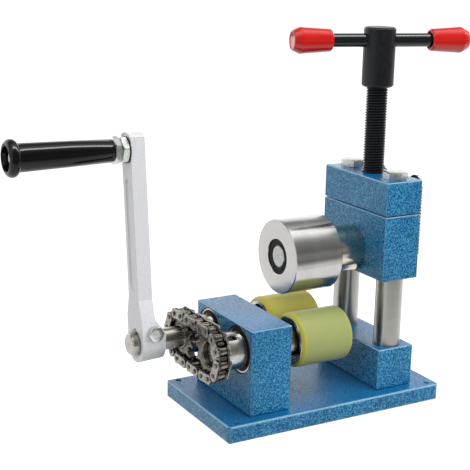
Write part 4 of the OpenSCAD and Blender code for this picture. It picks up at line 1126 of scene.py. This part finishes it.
def seen_directly(tree):
    """1 where the camera, a reflection or a clear medium looks, 0 for other light."""
    path = tree.add("LightPath").outputs
    total = path["Is Camera Ray"]
    for label in ("Is Glossy Ray", "Is Transmission Ray"):
        total = tree.maths("MAXIMUM", total, path[label])
    return total


def surroundings():
    world = bpy.data.worlds.new("white studio")
    bpy.context.scene.world = world
    world.use_nodes = True
    tree = Tree(world.node_tree)
    level = tree.add("MapRange", Value=seen_directly(tree), To_Min=0.72, To_Max=1.0)
    tree.set(tree.nodes["Background"], Color=(1, 1, 1, 1), Strength=level.outputs["Result"])


def empty_material(name):
    material = bpy.data.materials.new(name)
    material.use_nodes = True
    tree = Tree(material.node_tree)
    tree.nodes.clear()
    return material, tree


def floor():
    material, tree = empty_material("white floor")
    paper = tree.add("BsdfDiffuse", Color=(0.26, 0.26, 0.26, 1))
    glow = tree.add("Emission", Strength=seen_directly(tree), Color=(0.97, 0.97, 0.97, 1))
    both = tree.add("AddShader")
    tree.plug(both.inputs[0], paper.outputs["BSDF"])
    tree.plug(both.inputs[1], glow.outputs["Emission"])
    tree.add("OutputMaterial", Surface=both.outputs["Shader"])
    half = 3.0
    sheet = make_mesh("floor", [(-half, -half, 0), (half, -half, 0), (half, half, 0), (-half, half, 0)],
                      [(0, 1, 2, 3)], material)
    sheet.location.z = -0.4 * MM


def reflected_card(name, points, faces, level, stops, gain=1.0):
    """Surface that only reflections see. Its glow follows the stops (place, brightness) over the
    place that level works out from the card's own coordinates."""
    material, tree = empty_material(name)
    greys = [(where, [bright / gain] * 3 + [1]) for where, bright in stops]
    ramp = tree.ramp(level(tree, tree.split(tree.place())), greys)
    glow = tree.add("Emission", Strength=tree.maths("MULTIPLY", ramp, gain), Color=GLOW)
    tree.add("OutputMaterial", Surface=glow.outputs["Emission"])
    card = make_mesh(name, points, faces, material)
    card.visible_camera = False
    card.visible_diffuse = False
    card.visible_shadow = False
    card.visible_transmission = False
    return card


def share_of_arc(tree, place):
    """0 at the front horizon, 0.5 overhead, 1 at the back horizon."""
    forward = tree.maths("MULTIPLY", place["Y"], -1.0)
    return tree.maths("DIVIDE", tree.maths("ARCTAN2", place["Z"], forward), math.pi)


def share_forward(tree, place):
    """0 below the machine, 1 at the front edge of the table."""
    return tree.maths("DIVIDE", place["Y"], TABLE_EDGES[0])


def light_tunnel():
    """Half round wall over the machine, its brightness drawn as bands along X. It reaches a
    little below the axle's level on both sides."""
    steps, below = 48, 2
    points, faces = [], []
    for k in range(steps + 1):
        a = math.pi * (k - below) / (steps - 2 * below)
        points += [(x, -TUNNEL_R * math.cos(a), TUNNEL_R * math.sin(a)) for x in STUDIO_X]
    for k in range(steps):
        faces.append((2 * k, 2 * k + 1, 2 * k + 3, 2 * k + 2))
    bands = [(degrees / 180, bright) for degrees, bright in TUNNEL_BANDS]
    tunnel = reflected_card("light tunnel", points, faces, share_of_arc, bands, gain=2.2)
    tunnel.location.z = AXLE.z


def table_front():
    """Dark strip of the table before the machine, just above the floor."""
    (left, right), (front, back), height = STUDIO_X, TABLE_EDGES, 2 * MM
    corners = [(left, front, height), (right, front, height), (right, back, height), (left, back, height)]
    reflected_card("front of the table", corners, [(0, 1, 2, 3)], share_forward, TABLE_BANDS)


camera()
surroundings()
floor()
lamp("overhead softbox", (0.6, -0.42, 1.2), (0.75, 0.42), 6.0)
lamp("front softbox", (0.35, -1.1, 0.5), (0.8, 0.6), 5.0)
lamp("left fill", (-0.95, -0.5, 0.8), (0.5, 0.5), 2.5)
lamp("strip for black gloss", (0.8, -0.35, 1.55), (3.0, 0.3), 40.0, (0.8, 0.0, 0.1), (grip, bar))
light_tunnel()
table_front()

scene = bpy.context.scene
scene.view_settings.view_transform = "Standard"
